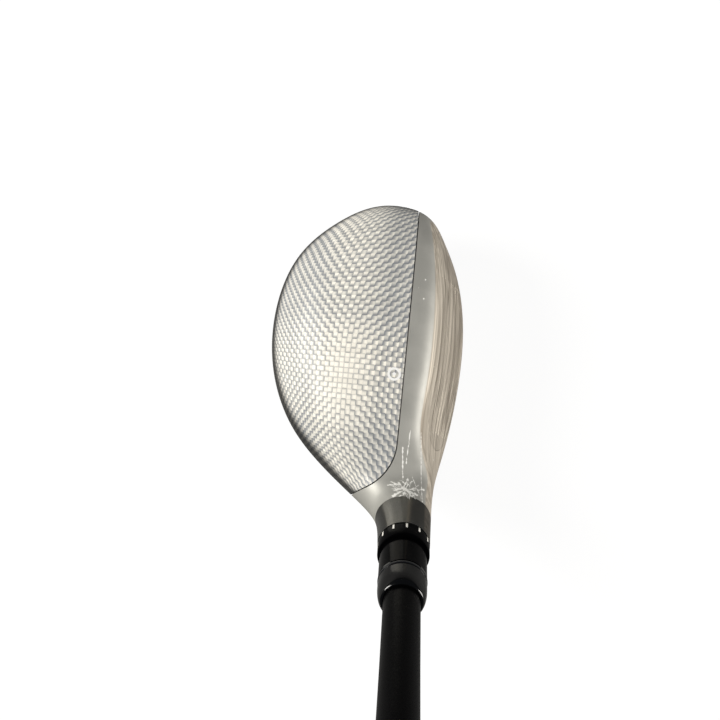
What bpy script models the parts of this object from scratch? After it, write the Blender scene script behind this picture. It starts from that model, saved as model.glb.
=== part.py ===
"""Left-handed hybrid golf club, assembled and standing at address.

The head is a cast steel shell with a bonded composite crown and a welded face insert. A splined loft sleeve,
bonded to the shaft, drops into the hosel and is drawn down by a captive bolt from the sole.

World axes: +X towards the target, +Y towards the toe, +Z up. The origin lies on the flat of the keel, in the
plane of the shaft. Lengths are in metres.
"""

import math
from collections import namedtuple

import bmesh
import bpy
import numpy as np
from mathutils import Matrix, Vector

MM = 0.001
X_AXIS = Vector((1, 0, 0))
Z_AXIS = Vector((0, 0, 1))

# ---------------------------------------------------------------- club
CLUB_LENGTH = 1029 * MM  # from the ground to the grip's end, along the shaft
LIE = math.radians(59.5)  # shaft above the ground
LOFT = math.radians(20)  # face leaned back from upright
SLEEVE_OFFSET = math.radians(1.5)  # between the sleeve's axis and the shaft's

# ---------------------------------------------------------------- clearances
BOND_GAP = 0.15 * MM  # round a bonded joint
SLIDE_GAP = 0.13 * MM  # round a piece that slides or turns in a bore
SEAT_GAP = 0.30 * MM  # between faces that seat on each other
SEAM_GAP = 0.15 * MM  # each side of a seam in the head's skin
CUT = 12 * MM  # how far a cutter runs past what it cuts

# ---------------------------------------------------------------- head form
FACE_PROGRESSION = 16.4 * MM  # leading edge ahead of the shaft's plane, at ground level
HEAD_DEPTH = 60.8 * MM  # leading edge to trailing edge
CROWN_HEIGHT = 35.8 * MM
TOE_REACH = 45.2 * MM  # keel's middle to the toe's tip
HEEL_REACH = 36.0 * MM  # keel's middle to the plane where the heel starts to turn up
NECK_FILLET = 9.2 * MM  # the turn's centre above the crown

# One cross-section of the head. reach: 1 at the toe's tip, 0 at the keel's middle, -1 at the heel plane.
# front, back: shares of the depth behind the leading edge. low, high: shares of the crown height.
# loft: share of the face's loft. round: how far its outline is rounded to an ellipse.
Station = namedtuple("Station", "reach front back low high loft round")
STATIONS = (
    Station(0.985, 0.360, 0.470, 0.400, 0.640, 1.0, 1.00),
    Station(0.930, 0.225, 0.610, 0.260, 0.800, 1.0, 0.75),
    Station(0.800, 0.118, 0.770, 0.140, 0.910, 1.0, 0.35),
    Station(0.580, 0.045, 0.915, 0.050, 0.970, 1.0, 0.10),
    Station(0.240, 0.006, 0.990, 0.000, 1.000, 1.0, 0.00),
    Station(-0.200, 0.008, 0.975, 0.000, 1.000, 1.0, 0.00),
    Station(-0.660, 0.042, 0.860, 0.022, 0.980, 0.9, 0.00),
    Station(-1.000, 0.098, 0.680, 0.115, 0.935, 0.3, 0.05),
)
# The cross-section's control points, anticlockwise from under the leading edge: shares of the width behind
# the front and of the height above the sole. Points at 0 width lie along the lofted face.
PROFILE = (
    (0.075, -0.010),
    (0.000, 0.070),
    (0.000, 0.340),
    (0.000, 0.620),
    (0.000, 0.860),
    (0.040, 0.950),
    (0.200, 0.985),
    (0.450, 1.005),
    (0.720, 0.930),
    (0.930, 0.730),
    (1.030, 0.460),
    (0.960, 0.220),
    (0.720, 0.050),
    (0.380, -0.015),
)
NECK_PHASE = math.radians(-73)  # where the neck's first control point stands, so that the skin doesn't twist
NECK_TURNS = (0.25, 0.57, 1.0)  # stations of the turn from head to neck, as shares of its angle
FORM_LEVELS = 2
HIDDEN_LEVELS = 1

# ---------------------------------------------------------------- head shell
SKIN = 2.2 * MM  # sole and skirt
FACE_THICKNESS = 2.2 * MM
FACE_LIP = 1.2 * MM  # the step that the face insert is welded against, and its width
CROWN_THICKNESS = 1.2 * MM
LEDGE_THICKNESS = 1.2 * MM  # under the crown panel's rim
LEDGE_WIDTH = 5.0 * MM
SEAM_X = -4.0 * MM  # crown panel's front edge
SEAM_CORNER = 15.0 * MM  # its rounded heel corner
SEAM_HEEL_DROP = math.radians(29)  # slope of its heel edge
SEAM_CORNER_Y = -36.9 * MM
SKIRT_HEIGHT = 13.5 * MM  # crown panel's lower edge at the back
FACE_LOW, FACE_HIGH = 0.15, 0.80  # face insert's edges, as shares of each section's height
FACE_HEEL, FACE_TOE = -0.80, 0.86  # its ends, as reaches
GROOVES = 9
GROOVE_PITCH = 2.6 * MM
GROOVE_WIDTH = 0.8 * MM
GROOVE_DEPTH = 0.40 * MM
GROOVE_LENGTH = 46 * MM
GROOVE_FIRST = 6.8 * MM  # height of the lowest
SLOT_X = 6.5 * MM
SLOT_WIDTH = 3.0 * MM
SLOT_LENGTH = 50 * MM
SLOT_DEPTH = 3.0 * MM

# ---------------------------------------------------------------- shaft, sleeve and hosel, from inside out
TIP_RADIUS = 4.70 * MM
TIP_PARALLEL = 80 * MM
BUTT_RADIUS = 7.60 * MM
SHAFT_WALL = 1.20 * MM
SHAFT_DEPTH = 27.0 * MM  # how far the shaft goes in below the hosel's end
PIVOT_DEPTH = 12.0 * MM  # where the shaft's axis crosses the hosel's, below the hosel's end
SLEEVE_WALL = 0.45 * MM
SLEEVE_END = 7.5 * MM  # solid end below the shaft, tapped for the bolt
SPLINE_DEPTH = 0.45 * MM
SPLINE_COUNT = 12
SPLINE_LENGTH = 5.0 * MM
HOSEL_WALL = 0.68 * MM
HOSEL_FLARE = 0.45 * MM  # wider at its root
HOSEL_LENGTH = 57.1 * MM  # ground to hosel end, along its axis
HOSEL_GROUND_Y = -28.6 * MM
HOSEL_TUBE_WALL = 1.6 * MM  # where the hosel runs through the hollow head
COLLAR_HEIGHT = 5.6 * MM
UPPER_HEIGHT = 11.1 * MM
UPPER_INSET = 0.65 * MM  # step in from the collar
TRIM_HEIGHT = 0.9 * MM
TRIM_PROUD = 0.10 * MM
FERRULE_HEIGHT = 8.2 * MM
FERRULE_EDGE = 0.35 * MM

# ---------------------------------------------------------------- hosel bolt
BOLT_RADIUS = 2.50 * MM
BOLT_PITCH = 0.80 * MM
BOLT_ENGAGED = 7.0 * MM  # thread inside the sleeve
BOLT_HEAD_RADIUS = 4.20 * MM
BOLT_HEAD_HEIGHT = 5.0 * MM
BOLT_DRIVE = 2.20 * MM
BOLT_DRIVE_DEPTH = 3.2 * MM
SHELF_THICKNESS = 3.6 * MM
PORT_RADIUS = 5.0 * MM
WASHER_THICKNESS = 1.0 * MM
RETAINER_THICKNESS = 1.2 * MM
RETAINER_RADIUS = 4.3 * MM

# ---------------------------------------------------------------- sole weight
WEIGHT_X = -29 * MM
WEIGHT_Y = 2 * MM
WEIGHT_RADIUS = 6.2 * MM
WEIGHT_HEIGHT = 4.2 * MM
WEIGHT_RECESS = 0.4 * MM
WEIGHT_STEM_RADIUS = 3.6 * MM
WEIGHT_STEM = 5.5 * MM
WEIGHT_DRIVE = 2.6 * MM
WEIGHT_DRIVE_DEPTH = 2.6 * MM
WEIGHT_BOSS_WALL = 1.6 * MM
SEAL_THICKNESS = 0.9 * MM
SEAL_RADIUS = 5.4 * MM

# ---------------------------------------------------------------- grip
GRIP_LENGTH = 268 * MM
GRIP_MOUTH_RADIUS = 8.90 * MM
GRIP_LOWER_RADIUS = 10.9 * MM
GRIP_UPPER_RADIUS = 11.9 * MM
GRIP_CAP_RADIUS = 13.4 * MM
GRIP_CAP_HEIGHT = 5.0 * MM
TAPE_THICKNESS = 0.25 * MM
VENT_RADIUS = 1.6 * MM
PLUG_LENGTH = 12 * MM

ROUND = 36  # facets round a turned piece


# ================================================================ helpers
def start():
    """Empties the scene and returns the collections for the parts and for the cutters."""
    for obj in list(bpy.data.objects):
        bpy.data.objects.remove(obj, do_unlink=True)
    found = []
    for name in ("hybrid_golf_club", "cutters"):
        collection = bpy.data.collections.new(name)
        bpy.context.scene.collection.children.link(collection)
        found.append(collection)
    return found


PARTS, CUTTERS = start()


def material(name, colour, roughness, metallic):
    made = bpy.data.materials.new(name)
    made.use_nodes = True
    shader = made.node_tree.nodes["Principled BSDF"]
    shader.inputs["Base Color"].default_value = (*colour, 1)
    shader.inputs["Roughness"].default_value = roughness
    shader.inputs["Metallic"].default_value = metallic
    return made


STEEL = material("satin_steel", (0.36, 0.35, 0.32), 0.42, 1.0)
FACE_STEEL = material("brushed_face_steel", (0.45, 0.41, 0.36), 0.38, 1.0)
COMPOSITE = material("woven_composite", (0.30, 0.31, 0.32), 0.22, 0.3)
BLACK_ALLOY = material("black_alloy", (0.015, 0.015, 0.017), 0.30, 0.6)
BLACK_PLASTIC = material("black_plastic", (0.012, 0.012, 0.013), 0.15, 0.0)
MATTE_BLACK = material("matte_black_composite", (0.02, 0.021, 0.021), 0.55, 0.0)
RUBBER = material("black_rubber", (0.025, 0.025, 0.025), 0.85, 0.0)
TAPE = material("tape", (0.75, 0.73, 0.66), 0.80, 0.0)
ALUMINIUM = material("bright_aluminium", (0.75, 0.75, 0.76), 0.22, 1.0)
BRASS = material("brass", (0.62, 0.48, 0.22), 0.35, 1.0)
ZINC = material("dark_zinc", (0.20, 0.20, 0.21), 0.35, 1.0)
TUNGSTEN = material("tungsten_alloy", (0.28, 0.28, 0.29), 0.38, 1.0)
SOFT_BLACK = material("soft_black", (0.02, 0.02, 0.02), 0.65, 0.0)


def add(name, mesh, look=None, parent=None, matrix=None):
    """Links a mesh as a part, or as a cutter if it has no material."""
    obj = bpy.data.objects.new(name, mesh)
    (PARTS if look else CUTTERS).objects.link(obj)
    if look:
        mesh.materials.clear()
        mesh.materials.append(look)
    else:
        obj.hide_render = True
        obj.display_type = "WIRE"
    if parent:
        obj.parent = parent
    if matrix:
        obj.matrix_basis = matrix
    return obj


def axis_empty(name, point, direction):
    """An empty at point whose +Z runs along direction."""
    empty = bpy.data.objects.new(name, None)
    PARTS.objects.link(empty)
    empty.matrix_basis = Matrix.Translation(point) @ direction.to_track_quat("Z", "Y").to_matrix().to_4x4()
    return empty


def boolean(obj, operation, other):
    modifier = obj.modifiers.new(f"{operation.lower()}_{other.name}", "BOOLEAN")
    modifier.operation = operation
    modifier.object = other
    return obj


def cut(obj, *cutters):
    for cutter in cutters:
        boolean(obj, "DIFFERENCE", cutter)
    return obj


def turned(name, profile, look=None, parent=None, ring=False, steps=ROUND):
    """A turned piece about its local Z. The profile runs down the outer side, as (radius, height) pairs; a
    ring's profile closes on itself, and any other starts and ends on the axis."""
    mesh = bpy.data.meshes.new(name)
    edges = [(i, i + 1) for i in range(len(profile) - 1)]
    if ring:
        edges.append((len(profile) - 1, 0))
    mesh.from_pydata([(radius, 0, height) for radius, height in profile], edges, [])
    obj = add(name, mesh, look, parent)
    screw = obj.modifiers.new("turn", "SCREW")
    screw.steps = screw.render_steps = steps
    screw.use_merge_vertices = True
    screw.merge_threshold = 0.00001
    screw.use_smooth_shade = True
    return obj


def rod(name, radius, low, high, look=None, parent=None, steps=ROUND):
    """A plain cylinder about its local Z, turned by half a facet so that its corners miss those of its host."""
    obj = turned(name, [(0, high), (radius, high), (radius, low), (0, low)], look, parent, steps=steps)
    obj.matrix_basis = Matrix.Rotation(math.pi / steps, 4, "Z")
    return obj


def prism(name, outline, low, high, parent=None, matrix=None):
    """A flat outline in local X and Y, extruded from low to high along Z."""
    curve = bpy.data.curves.new(name, "CURVE")
    curve.dimensions = "2D"
    curve.fill_mode = "BOTH"
    curve.extrude = (high - low) / 2
    spline = curve.splines.new("POLY")
    spline.points.add(len(outline) - 1)
    for point, (x, y) in zip(spline.points, outline):
        point.co = (x, y, 0, 1)
    spline.use_cyclic_u = True
    helper = bpy.data.objects.new(name, curve)
    CUTTERS.objects.link(helper)
    bpy.context.view_layer.update()
    graph = bpy.context.evaluated_depsgraph_get()
    mesh = bpy.data.meshes.new_from_object(helper.evaluated_get(graph))
    bpy.data.objects.remove(helper)
    edit = bmesh.new()
    edit.from_mesh(mesh)
    bmesh.ops.remove_doubles(edit, verts=edit.verts, dist=0.000001)
    bmesh.ops.translate(edit, verts=edit.verts, vec=(0, 0, (high + low) / 2))
    bmesh.ops.recalc_face_normals(edit, faces=edit.faces)
    edit.to_mesh(mesh)
    edit.free()
    return add(name, mesh, None, parent, matrix)


def lobes(radius, count, share):
    """A wavy round outline, as a six-lobed driver socket has."""
    points = []
    for i in range(count * 6):
        angle = math.tau * i / (count * 6)
        reach = radius * (1 - share * (1 - math.cos(count * angle)) / 2)
        points.append((reach * math.cos(angle), reach * math.sin(angle)))
    return points


def spline_outline(root, tip):
    """A splined shaft's outline: flat-topped teeth a little narrower than the gaps."""
    points = []
    for i in range(SPLINE_COUNT):
        for share, radius in ((0.22, root), (0.30, tip), (0.58, tip), (0.66, root)):
            angle = math.tau * (i + share) / SPLINE_COUNT
            points.append((radius * math.cos(angle), radius * math.sin(angle)))
    return points


# ================================================================ axes
HOSEL_LIE = LIE + SLEEVE_OFFSET
HOSEL_UP = Vector((0, -math.cos(HOSEL_LIE), math.sin(HOSEL_LIE)))
SHAFT_UP = Vector((0, -math.cos(LIE), math.sin(LIE)))
HOSEL_END = Vector((0, HOSEL_GROUND_Y, 0)) + HOSEL_LENGTH * HOSEL_UP
PIVOT = HOSEL_END - PIVOT_DEPTH * HOSEL_UP

SLEEVE_BORE = TIP_RADIUS + BOND_GAP
BORE_SHIFT = (SHAFT_DEPTH - PIVOT_DEPTH) * math.tan(SLEEVE_OFFSET)
SLEEVE_RADIUS = SLEEVE_BORE + BORE_SHIFT + SLEEVE_WALL
HOSEL_BORE = SLEEVE_RADIUS + SLIDE_GAP
SPLINE_TIP = SLEEVE_RADIUS + SPLINE_DEPTH
SPLINE_SOCKET = SPLINE_TIP + SLIDE_GAP
HOSEL_RADIUS = SPLINE_SOCKET + HOSEL_WALL
SLEEVE_BOTTOM = -SHAFT_DEPTH - SLEEVE_END  # heights on the hosel's axis, from its end
SHELF_TOP = SLEEVE_BOTTOM - RETAINER_THICKNESS - 2 * SEAT_GAP
SHELF_BOTTOM = SHELF_TOP - SHELF_THICKNESS

hosel_axis = axis_empty("hosel_axis", HOSEL_END, HOSEL_UP)
shaft_axis = axis_empty("shaft_axis", PIVOT, SHAFT_UP)


# ================================================================ head form
Inset = namedtuple("Inset", "face crown back sole")
NO_INSET = Inset(0, 0, 0, 0)


def even_inset(depth):
    return Inset(depth, depth, depth, depth)


def smooth_radius(radius, count):
    """The control radius whose subdivided outline has this radius."""
    return radius * 6 / (4 + 2 * math.cos(math.tau / count))


def profile_angles():
    return [math.atan2(high - 0.5, 0.5 - back) for back, high in PROFILE]


def head_section(station, inset):
    """Control points of one cross-section, as (x, height)."""
    front = FACE_PROGRESSION - station.front * HEAD_DEPTH - inset.face / math.cos(LOFT)
    back = FACE_PROGRESSION - station.back * HEAD_DEPTH + inset.back
    low = station.low * CROWN_HEIGHT + inset.sole
    high = station.high * CROWN_HEIGHT - inset.crown
    width, height = front - back, high - low
    slope = math.tan(LOFT) * station.loft
    middle = Vector(((front + back) / 2 - low * slope / 2, (low + high) / 2))
    points = []
    for (behind, above), angle in zip(PROFILE, profile_angles()):
        rise = low + above * height
        lean = rise * slope * max(0, 1 - behind)
        flat = Vector((front - behind * width - lean, rise))
        oval = middle + Vector(
            (
                smooth_radius(width / 2, len(PROFILE)) * math.cos(angle),
                smooth_radius(height / 2, len(PROFILE)) * math.sin(angle),
            )
        )
        points.append(flat.lerp(oval, station.round))
    return points


def neck_circle(radius):
    count = len(PROFILE)
    reach = smooth_radius(radius, count)
    turns = [NECK_PHASE + math.tau * i / count for i in range(count)]
    return [Vector((reach * math.cos(turn), reach * math.sin(turn))) for turn in turns]


def neck_ring(height, radius):
    """A round ring of control points across the hosel's axis, at a height from the hosel's end."""
    centre = HOSEL_END + height * HOSEL_UP
    across = Vector((0, math.sin(HOSEL_LIE), math.cos(HOSEL_LIE)))
    return [centre + point.x * X_AXIS + point.y * across for point in neck_circle(radius)]


def form_rings(inset, last_reach=None):
    """Rings of control points from the toe, over the heel and up the neck, and the number of them that the skin
    passes through. The heel's rings fan about a line above the crown, so that the skin turns into the neck.
    With last_reach the form stops at that reach."""
    rings = []
    for station in STATIONS:
        if last_reach is not None and station.reach < last_reach:
            break
        reach = TOE_REACH if station.reach > 0 else HEEL_REACH
        y = station.reach * reach - (inset.back if station.reach > 0.9 else 0)
        rings.append([Vector((x, y, z)) for x, z in head_section(station, inset)])
    through = len(rings) - 1
    if last_reach is not None:
        return rings, through
    turn = Vector((0, -HEEL_REACH, CROWN_HEIGHT + NECK_FILLET))
    root_height = (turn - HOSEL_END).dot(HOSEL_UP)
    arm_length = (HOSEL_END + root_height * HOSEL_UP - turn).length
    root = [point + Vector((0, turn.z - arm_length)) for point in
            neck_circle(HOSEL_RADIUS + HOSEL_FLARE - inset.back)]
    heel = head_section(STATIONS[-1], inset)
    for share in NECK_TURNS:
        angle = HOSEL_LIE * share
        weight = 1 - (1 - share) ** 2
        ring = []
        for flat, bent in zip(heel, root):
            x, height = flat.lerp(bent, weight)
            arm = turn.z - height
            ring.append(Vector((x, turn.y - arm * math.sin(angle), turn.z - arm * math.cos(angle))))
        rings.append(ring)
    for height in (CUT / 4, CUT):
        rings.append(neck_ring(height, HOSEL_RADIUS - inset.back))
    return rings, through


def skin_control(rings, through):
    """Control rings whose subdivided skin passes through the first few of the given rings."""
    count = len(rings)
    system = np.eye(count)
    for i in range(1, through):
        system[i, i - 1 : i + 2] = (1 / 6, 4 / 6, 1 / 6)
    given = np.array([[list(point) for point in ring] for ring in rings])
    return np.linalg.solve(system, given.reshape(count, -1)).reshape(given.shape)


def head_form(name, inset=NO_INSET, levels=FORM_LEVELS, last_reach=None, look=None):
    """The head's outer shape, or the same shape inset, as a subdivided loft."""
    rings = skin_control(*form_rings(inset, last_reach))
    edit = bmesh.new()
    loops = [[edit.verts.new(point) for point in ring] for ring in rings]
    for ring, after in zip(loops, loops[1:]):
        for i in range(len(ring)):
            j = (i + 1) % len(ring)
            edit.faces.new((ring[i], ring[j], after[j], after[i]))
    edit.faces.new(reversed(loops[0]))
    edit.faces.new(loops[-1])
    bmesh.ops.recalc_face_normals(edit, faces=edit.faces)
    mesh = bpy.data.meshes.new(name)
    edit.to_mesh(mesh)
    edit.free()
    mesh.shade_smooth()
    obj = add(name, mesh, look)
    skin = obj.modifiers.new("skin", "SUBSURF")
    skin.levels = skin.render_levels = levels
    return obj


def surface_at(obj, x, y, from_z, direction):
    """Where a vertical line meets the object's evaluated surface, and the outward normal there."""
    bpy.context.view_layer.update()
    found = obj.evaluated_get(bpy.context.evaluated_depsgraph_get())
    hit, point, normal, _ = found.ray_cast(Vector((x, y, from_z)), Vector((0, 0, direction)))
    if not hit:
        raise ValueError(f"{obj.name} has no surface at {x}, {y}")
    return point, normal


# ================================================================ head
def seam_outline(gap, grow=0.0):
    """The crown panel's edge in plan: a straight front, a rounded heel corner and a sloping heel edge. gap moves
    it back from the seam, and the far sides run clear of the head."""
    front = SEAM_X - gap
    heading = Vector((-math.cos(SEAM_HEEL_DROP), -math.sin(SEAM_HEEL_DROP)))
    turn = math.pi / 2 - SEAM_HEEL_DROP
    corner = Vector((front, SEAM_CORNER_Y + gap * math.tan(turn / 2)))
    centre = corner + Vector((-SEAM_CORNER, SEAM_CORNER * math.tan(turn / 2)))
    arc_steps = 8
    points = [Vector((front, TOE_REACH + CUT))]
    for i in range(arc_steps + 1):
        angle = -turn * i / arc_steps
        points.append(centre + SEAM_CORNER * Vector((math.cos(angle), math.sin(angle))))
    points.append(corner + heading * (HEAD_DEPTH + CUT))
    points.append(Vector((FACE_PROGRESSION - HEAD_DEPTH - CUT, TOE_REACH + CUT)))
    return points


def opening_outline():
    """The hole in the crown ledge: the head's plan outline, drawn in by the ledge."""
    draw_in = CROWN_THICKNESS + SEAT_GAP + LEDGE_WIDTH
    inner = [s for s in STATIONS if -0.9 < s.reach < 0.9]
    back = []
    for station in inner:
        y = station.reach * (TOE_REACH if station.reach > 0 else HEEL_REACH)
        back.append(Vector((FACE_PROGRESSION - station.back * HEAD_DEPTH + 1.6 * draw_in, y)))
    front_x = SEAM_X - LEDGE_WIDTH
    toe_y = STATIONS[2].reach * TOE_REACH
    heel_y = SEAM_CORNER_Y + 2 * LEDGE_WIDTH
    corner = Vector((back[-1].x + LEDGE_WIDTH, heel_y))
    return rounded([Vector((front_x, toe_y)), *back, corner, Vector((front_x, heel_y))])


def face_outline(margin):
    """The face insert's outline seen from the target, as (y, height), drawn in by a margin."""
    ends = [s for s in STATIONS if FACE_HEEL < s.reach < FACE_TOE]
    low, high = [], []
    for station in ends:
        y = station.reach * (TOE_REACH if station.reach > 0 else HEEL_REACH)
        bottom = station.low * CROWN_HEIGHT
        height = (station.high - station.low) * CROWN_HEIGHT
        low.append(Vector((y, bottom + FACE_LOW * height + margin)))
        high.append(Vector((y, bottom + FACE_HIGH * height - margin)))
    toe_end = Vector((FACE_TOE * TOE_REACH - margin, (low[0].y + high[0].y) / 2))
    heel_end = Vector((FACE_HEEL * HEEL_REACH + margin, (low[-1].y + high[-1].y) / 2))
    return rounded([toe_end, *high, heel_end, *reversed(low)])


def rounded(points, passes=2):
    """Cuts each corner of a closed outline, which rounds it."""
    for _ in range(passes):
        smoother = []
        for here, after in zip(points, points[1:] + points[:1]):
            smoother += [here.lerp(after, 0.25), here.lerp(after, 0.75)]
        points = smoother
    return points


def facing_prism(name, outline, low_x, high_x):
    """An outline given as (y, height), run along X."""
    to_world = Matrix(((0, 0, 1, 0), (1, 0, 0, 0), (0, 1, 0, 0), (0, 0, 0, 1)))
    return prism(name, [tuple(p) for p in outline], low_x, high_x, matrix=to_world)


def slot_outline(gap):
    """The sole slot's outline, with round ends."""
    radius = SLOT_WIDTH / 2 - gap
    half = (SLOT_LENGTH - SLOT_WIDTH) / 2
    end_steps = 6
    points = []
    for side in (1, -1):
        for i in range(end_steps + 1):
            angle = math.pi * i / end_steps
            points.append((SLOT_X + side * radius * math.cos(angle), side * (half + radius * math.sin(angle))))
    return points


def make_head(weight_frame):
    body = head_form("head_body", look=STEEL)
    cavity = head_form(
        "cavity",
        Inset(FACE_THICKNESS + SEAT_GAP + FACE_LIP, CROWN_THICKNESS + SEAT_GAP + LEDGE_THICKNESS,
              CROWN_THICKNESS + SEAT_GAP + LEDGE_THICKNESS, SKIN),
        levels=HIDDEN_LEVELS,
        last_reach=-1.0,
    )
    mid_skin = head_form("mid_skin_form", even_inset(SKIN / 2))

    tube = rod("hosel_tube", HOSEL_BORE + HOSEL_TUBE_WALL, -HOSEL_LENGTH - CUT, -PIVOT_DEPTH, parent=hosel_axis)
    boolean(tube, "INTERSECT", mid_skin)
    boss_radius = WEIGHT_RADIUS + SLIDE_GAP + WEIGHT_BOSS_WALL
    boss_depth = WEIGHT_RECESS + WEIGHT_HEIGHT + SEAL_THICKNESS + WEIGHT_STEM + WEIGHT_BOSS_WALL + 2 * SEAT_GAP
    boss = rod("weight_boss", boss_radius, -boss_depth, CUT, parent=weight_frame, steps=24)
    boolean(boss, "INTERSECT", mid_skin)

    recess = prism("crown_recess", seam_outline(-SEAM_GAP), SKIRT_HEIGHT - SEAM_GAP, CROWN_HEIGHT + CUT)
    cut(recess, head_form("ledge_form", even_inset(CROWN_THICKNESS + SEAT_GAP), levels=HIDDEN_LEVELS))
    opening = prism("crown_opening", opening_outline(), CROWN_HEIGHT / 2, CROWN_HEIGHT + CUT)

    deep = Inset(FACE_THICKNESS + SEAT_GAP, 0, 0, 0)
    face_recess = facing_prism("face_recess", face_outline(-SEAM_GAP), SEAM_X, FACE_PROGRESSION + CUT)
    cut(face_recess, head_form("face_seat_form", deep, levels=HIDDEN_LEVELS))
    face_window = facing_prism("face_window", face_outline(FACE_LIP), SEAM_X, FACE_PROGRESSION + CUT)

    slot = prism("sole_slot", slot_outline(0), -CUT, SKIN + SLOT_DEPTH)
    boolean(body, "DIFFERENCE", cavity)
    boolean(body, "UNION", tube)
    boolean(body, "UNION", boss)
    cut(body, recess, opening, face_recess, face_window, slot)
    cut(body, *weight_port(weight_frame), *hosel_bores())
    keel = prism("below_keel", square(HEAD_DEPTH * 2), -CUT, 0)
    cut(body, keel)

    face = head_form("face_plate", look=FACE_STEEL)
    boolean(face, "INTERSECT", facing_prism("face_edge", face_outline(0), SEAM_X, FACE_PROGRESSION + CUT))
    cut(face, head_form("face_back_form", Inset(FACE_THICKNESS, 0, 0, 0), levels=HIDDEN_LEVELS))
    cut(face, face_grooves())

    crown = head_form("crown_panel", look=COMPOSITE)
    boolean(crown, "INTERSECT", prism("crown_edge", seam_outline(SEAM_GAP), SKIRT_HEIGHT + SEAM_GAP,
                                      CROWN_HEIGHT + CUT))
    cut(crown, head_form("crown_back_form", even_inset(CROWN_THICKNESS), levels=HIDDEN_LEVELS))

    filler = head_form("slot_filler", look=SOFT_BLACK)
    boolean(filler, "INTERSECT", prism("filler_edge", slot_outline(SEAM_GAP), -CUT, SKIN))
    return body


def square(side):
    half = side / 2
    return [(-half, -half), (half, -half), (half, half), (-half, half)]


def face_grooves():
    """A cutter for the scoring lines: level blades in front of the face, reaching one depth into it."""
    half, low, high = GROOVE_LENGTH / 2, GROOVE_FIRST - GROOVE_WIDTH / 2, GROOVE_FIRST + GROOVE_WIDTH / 2
    outline = [Vector((-half, low)), Vector((half, low)), Vector((half, high)), Vector((-half, high))]
    blades = facing_prism("grooves", outline, SEAM_X, FACE_PROGRESSION + CUT)
    rows = blades.modifiers.new("rows", "ARRAY")
    rows.count = GROOVES
    rows.use_relative_offset = False
    rows.use_constant_offset = True
    rows.constant_offset_displace = (0, GROOVE_PITCH, 0)
    return cut(blades, head_form("groove_floor_form", Inset(GROOVE_DEPTH, 0, 0, 0)))


def weight_port(frame):
    """The counterbore for the sole weight's head and seal, and the tapped hole for its stem."""
    floor = -(WEIGHT_RECESS + WEIGHT_HEIGHT + SEAL_THICKNESS + 2 * SEAT_GAP)
    return (
        rod("weight_counterbore", WEIGHT_RADIUS + SLIDE_GAP, floor, CUT, parent=frame),
        rod("weight_hole", WEIGHT_STEM_RADIUS + SLIDE_GAP, floor - WEIGHT_STEM - SEAT_GAP, 0, parent=frame, steps=24),
    )


def hosel_bores():
    """The sleeve's bore and spline socket, the bolt's hole, its port in the sole, and the cut that ends the
    hosel."""
    port_floor = -HOSEL_LENGTH - CUT
    return (
        prism("hosel_trim", square(HOSEL_RADIUS * 4), 0, CUT, parent=hosel_axis),
        prism("spline_socket", spline_outline(HOSEL_BORE - SPLINE_DEPTH, SPLINE_SOCKET), -SPLINE_LENGTH - SEAT_GAP,
              CUT, parent=hosel_axis),
        rod("sleeve_bore", HOSEL_BORE, SHELF_TOP, CUT, parent=hosel_axis),
        rod("bolt_hole", BOLT_RADIUS + SEAT_GAP, SHELF_BOTTOM - CUT / 4, SHELF_TOP + CUT / 4, parent=hosel_axis,
            steps=24),
        rod("bolt_port", PORT_RADIUS, port_floor, SHELF_BOTTOM, parent=hosel_axis),
    )


def make_weight(frame):
    """The sole weight with its stem and driver socket, and the seal under its head. Local +Z points out of the
    sole."""
    top = -WEIGHT_RECESS
    under = top - WEIGHT_HEIGHT
    chamfer = 0.5 * MM
    stem_end = under - SEAL_THICKNESS - 2 * SEAT_GAP - WEIGHT_STEM + SEAT_GAP
    weight = turned(
        "sole_weight",
        [
            (0, top),
            (WEIGHT_RADIUS - chamfer, top),
            (WEIGHT_RADIUS, top - chamfer),
            (WEIGHT_RADIUS, under),
            (WEIGHT_STEM_RADIUS, under),
            (WEIGHT_STEM_RADIUS, stem_end + chamfer),
            (WEIGHT_STEM_RADIUS - chamfer, stem_end),
            (0, stem_end),
        ],
        TUNGSTEN,
        frame,
    )
    cut(weight, prism("weight_drive", lobes(WEIGHT_DRIVE, 6, 0.22), top - WEIGHT_DRIVE_DEPTH, CUT, parent=frame))
    inner = WEIGHT_STEM_RADIUS + SLIDE_GAP
    outer = WEIGHT_RADIUS + SLIDE_GAP - SEAT_GAP
    high, low = under - SEAT_GAP, under - SEAT_GAP - SEAL_THICKNESS
    turned("weight_seal", round_ring(inner, outer, low, high), SOFT_BLACK, frame, ring=True, steps=24)


def round_ring(inner, outer, low, high):
    """A ring's profile with rounded shoulders, anticlockwise from its inner bottom."""
    ease = (high - low) * 0.3
    return [
        (inner, high - ease),
        (inner + ease, high),
        (outer - ease, high),
        (outer, high - ease),
        (outer, low + ease),
        (outer - ease, low),
        (inner + ease, low),
        (inner, low + ease),
    ]


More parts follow.
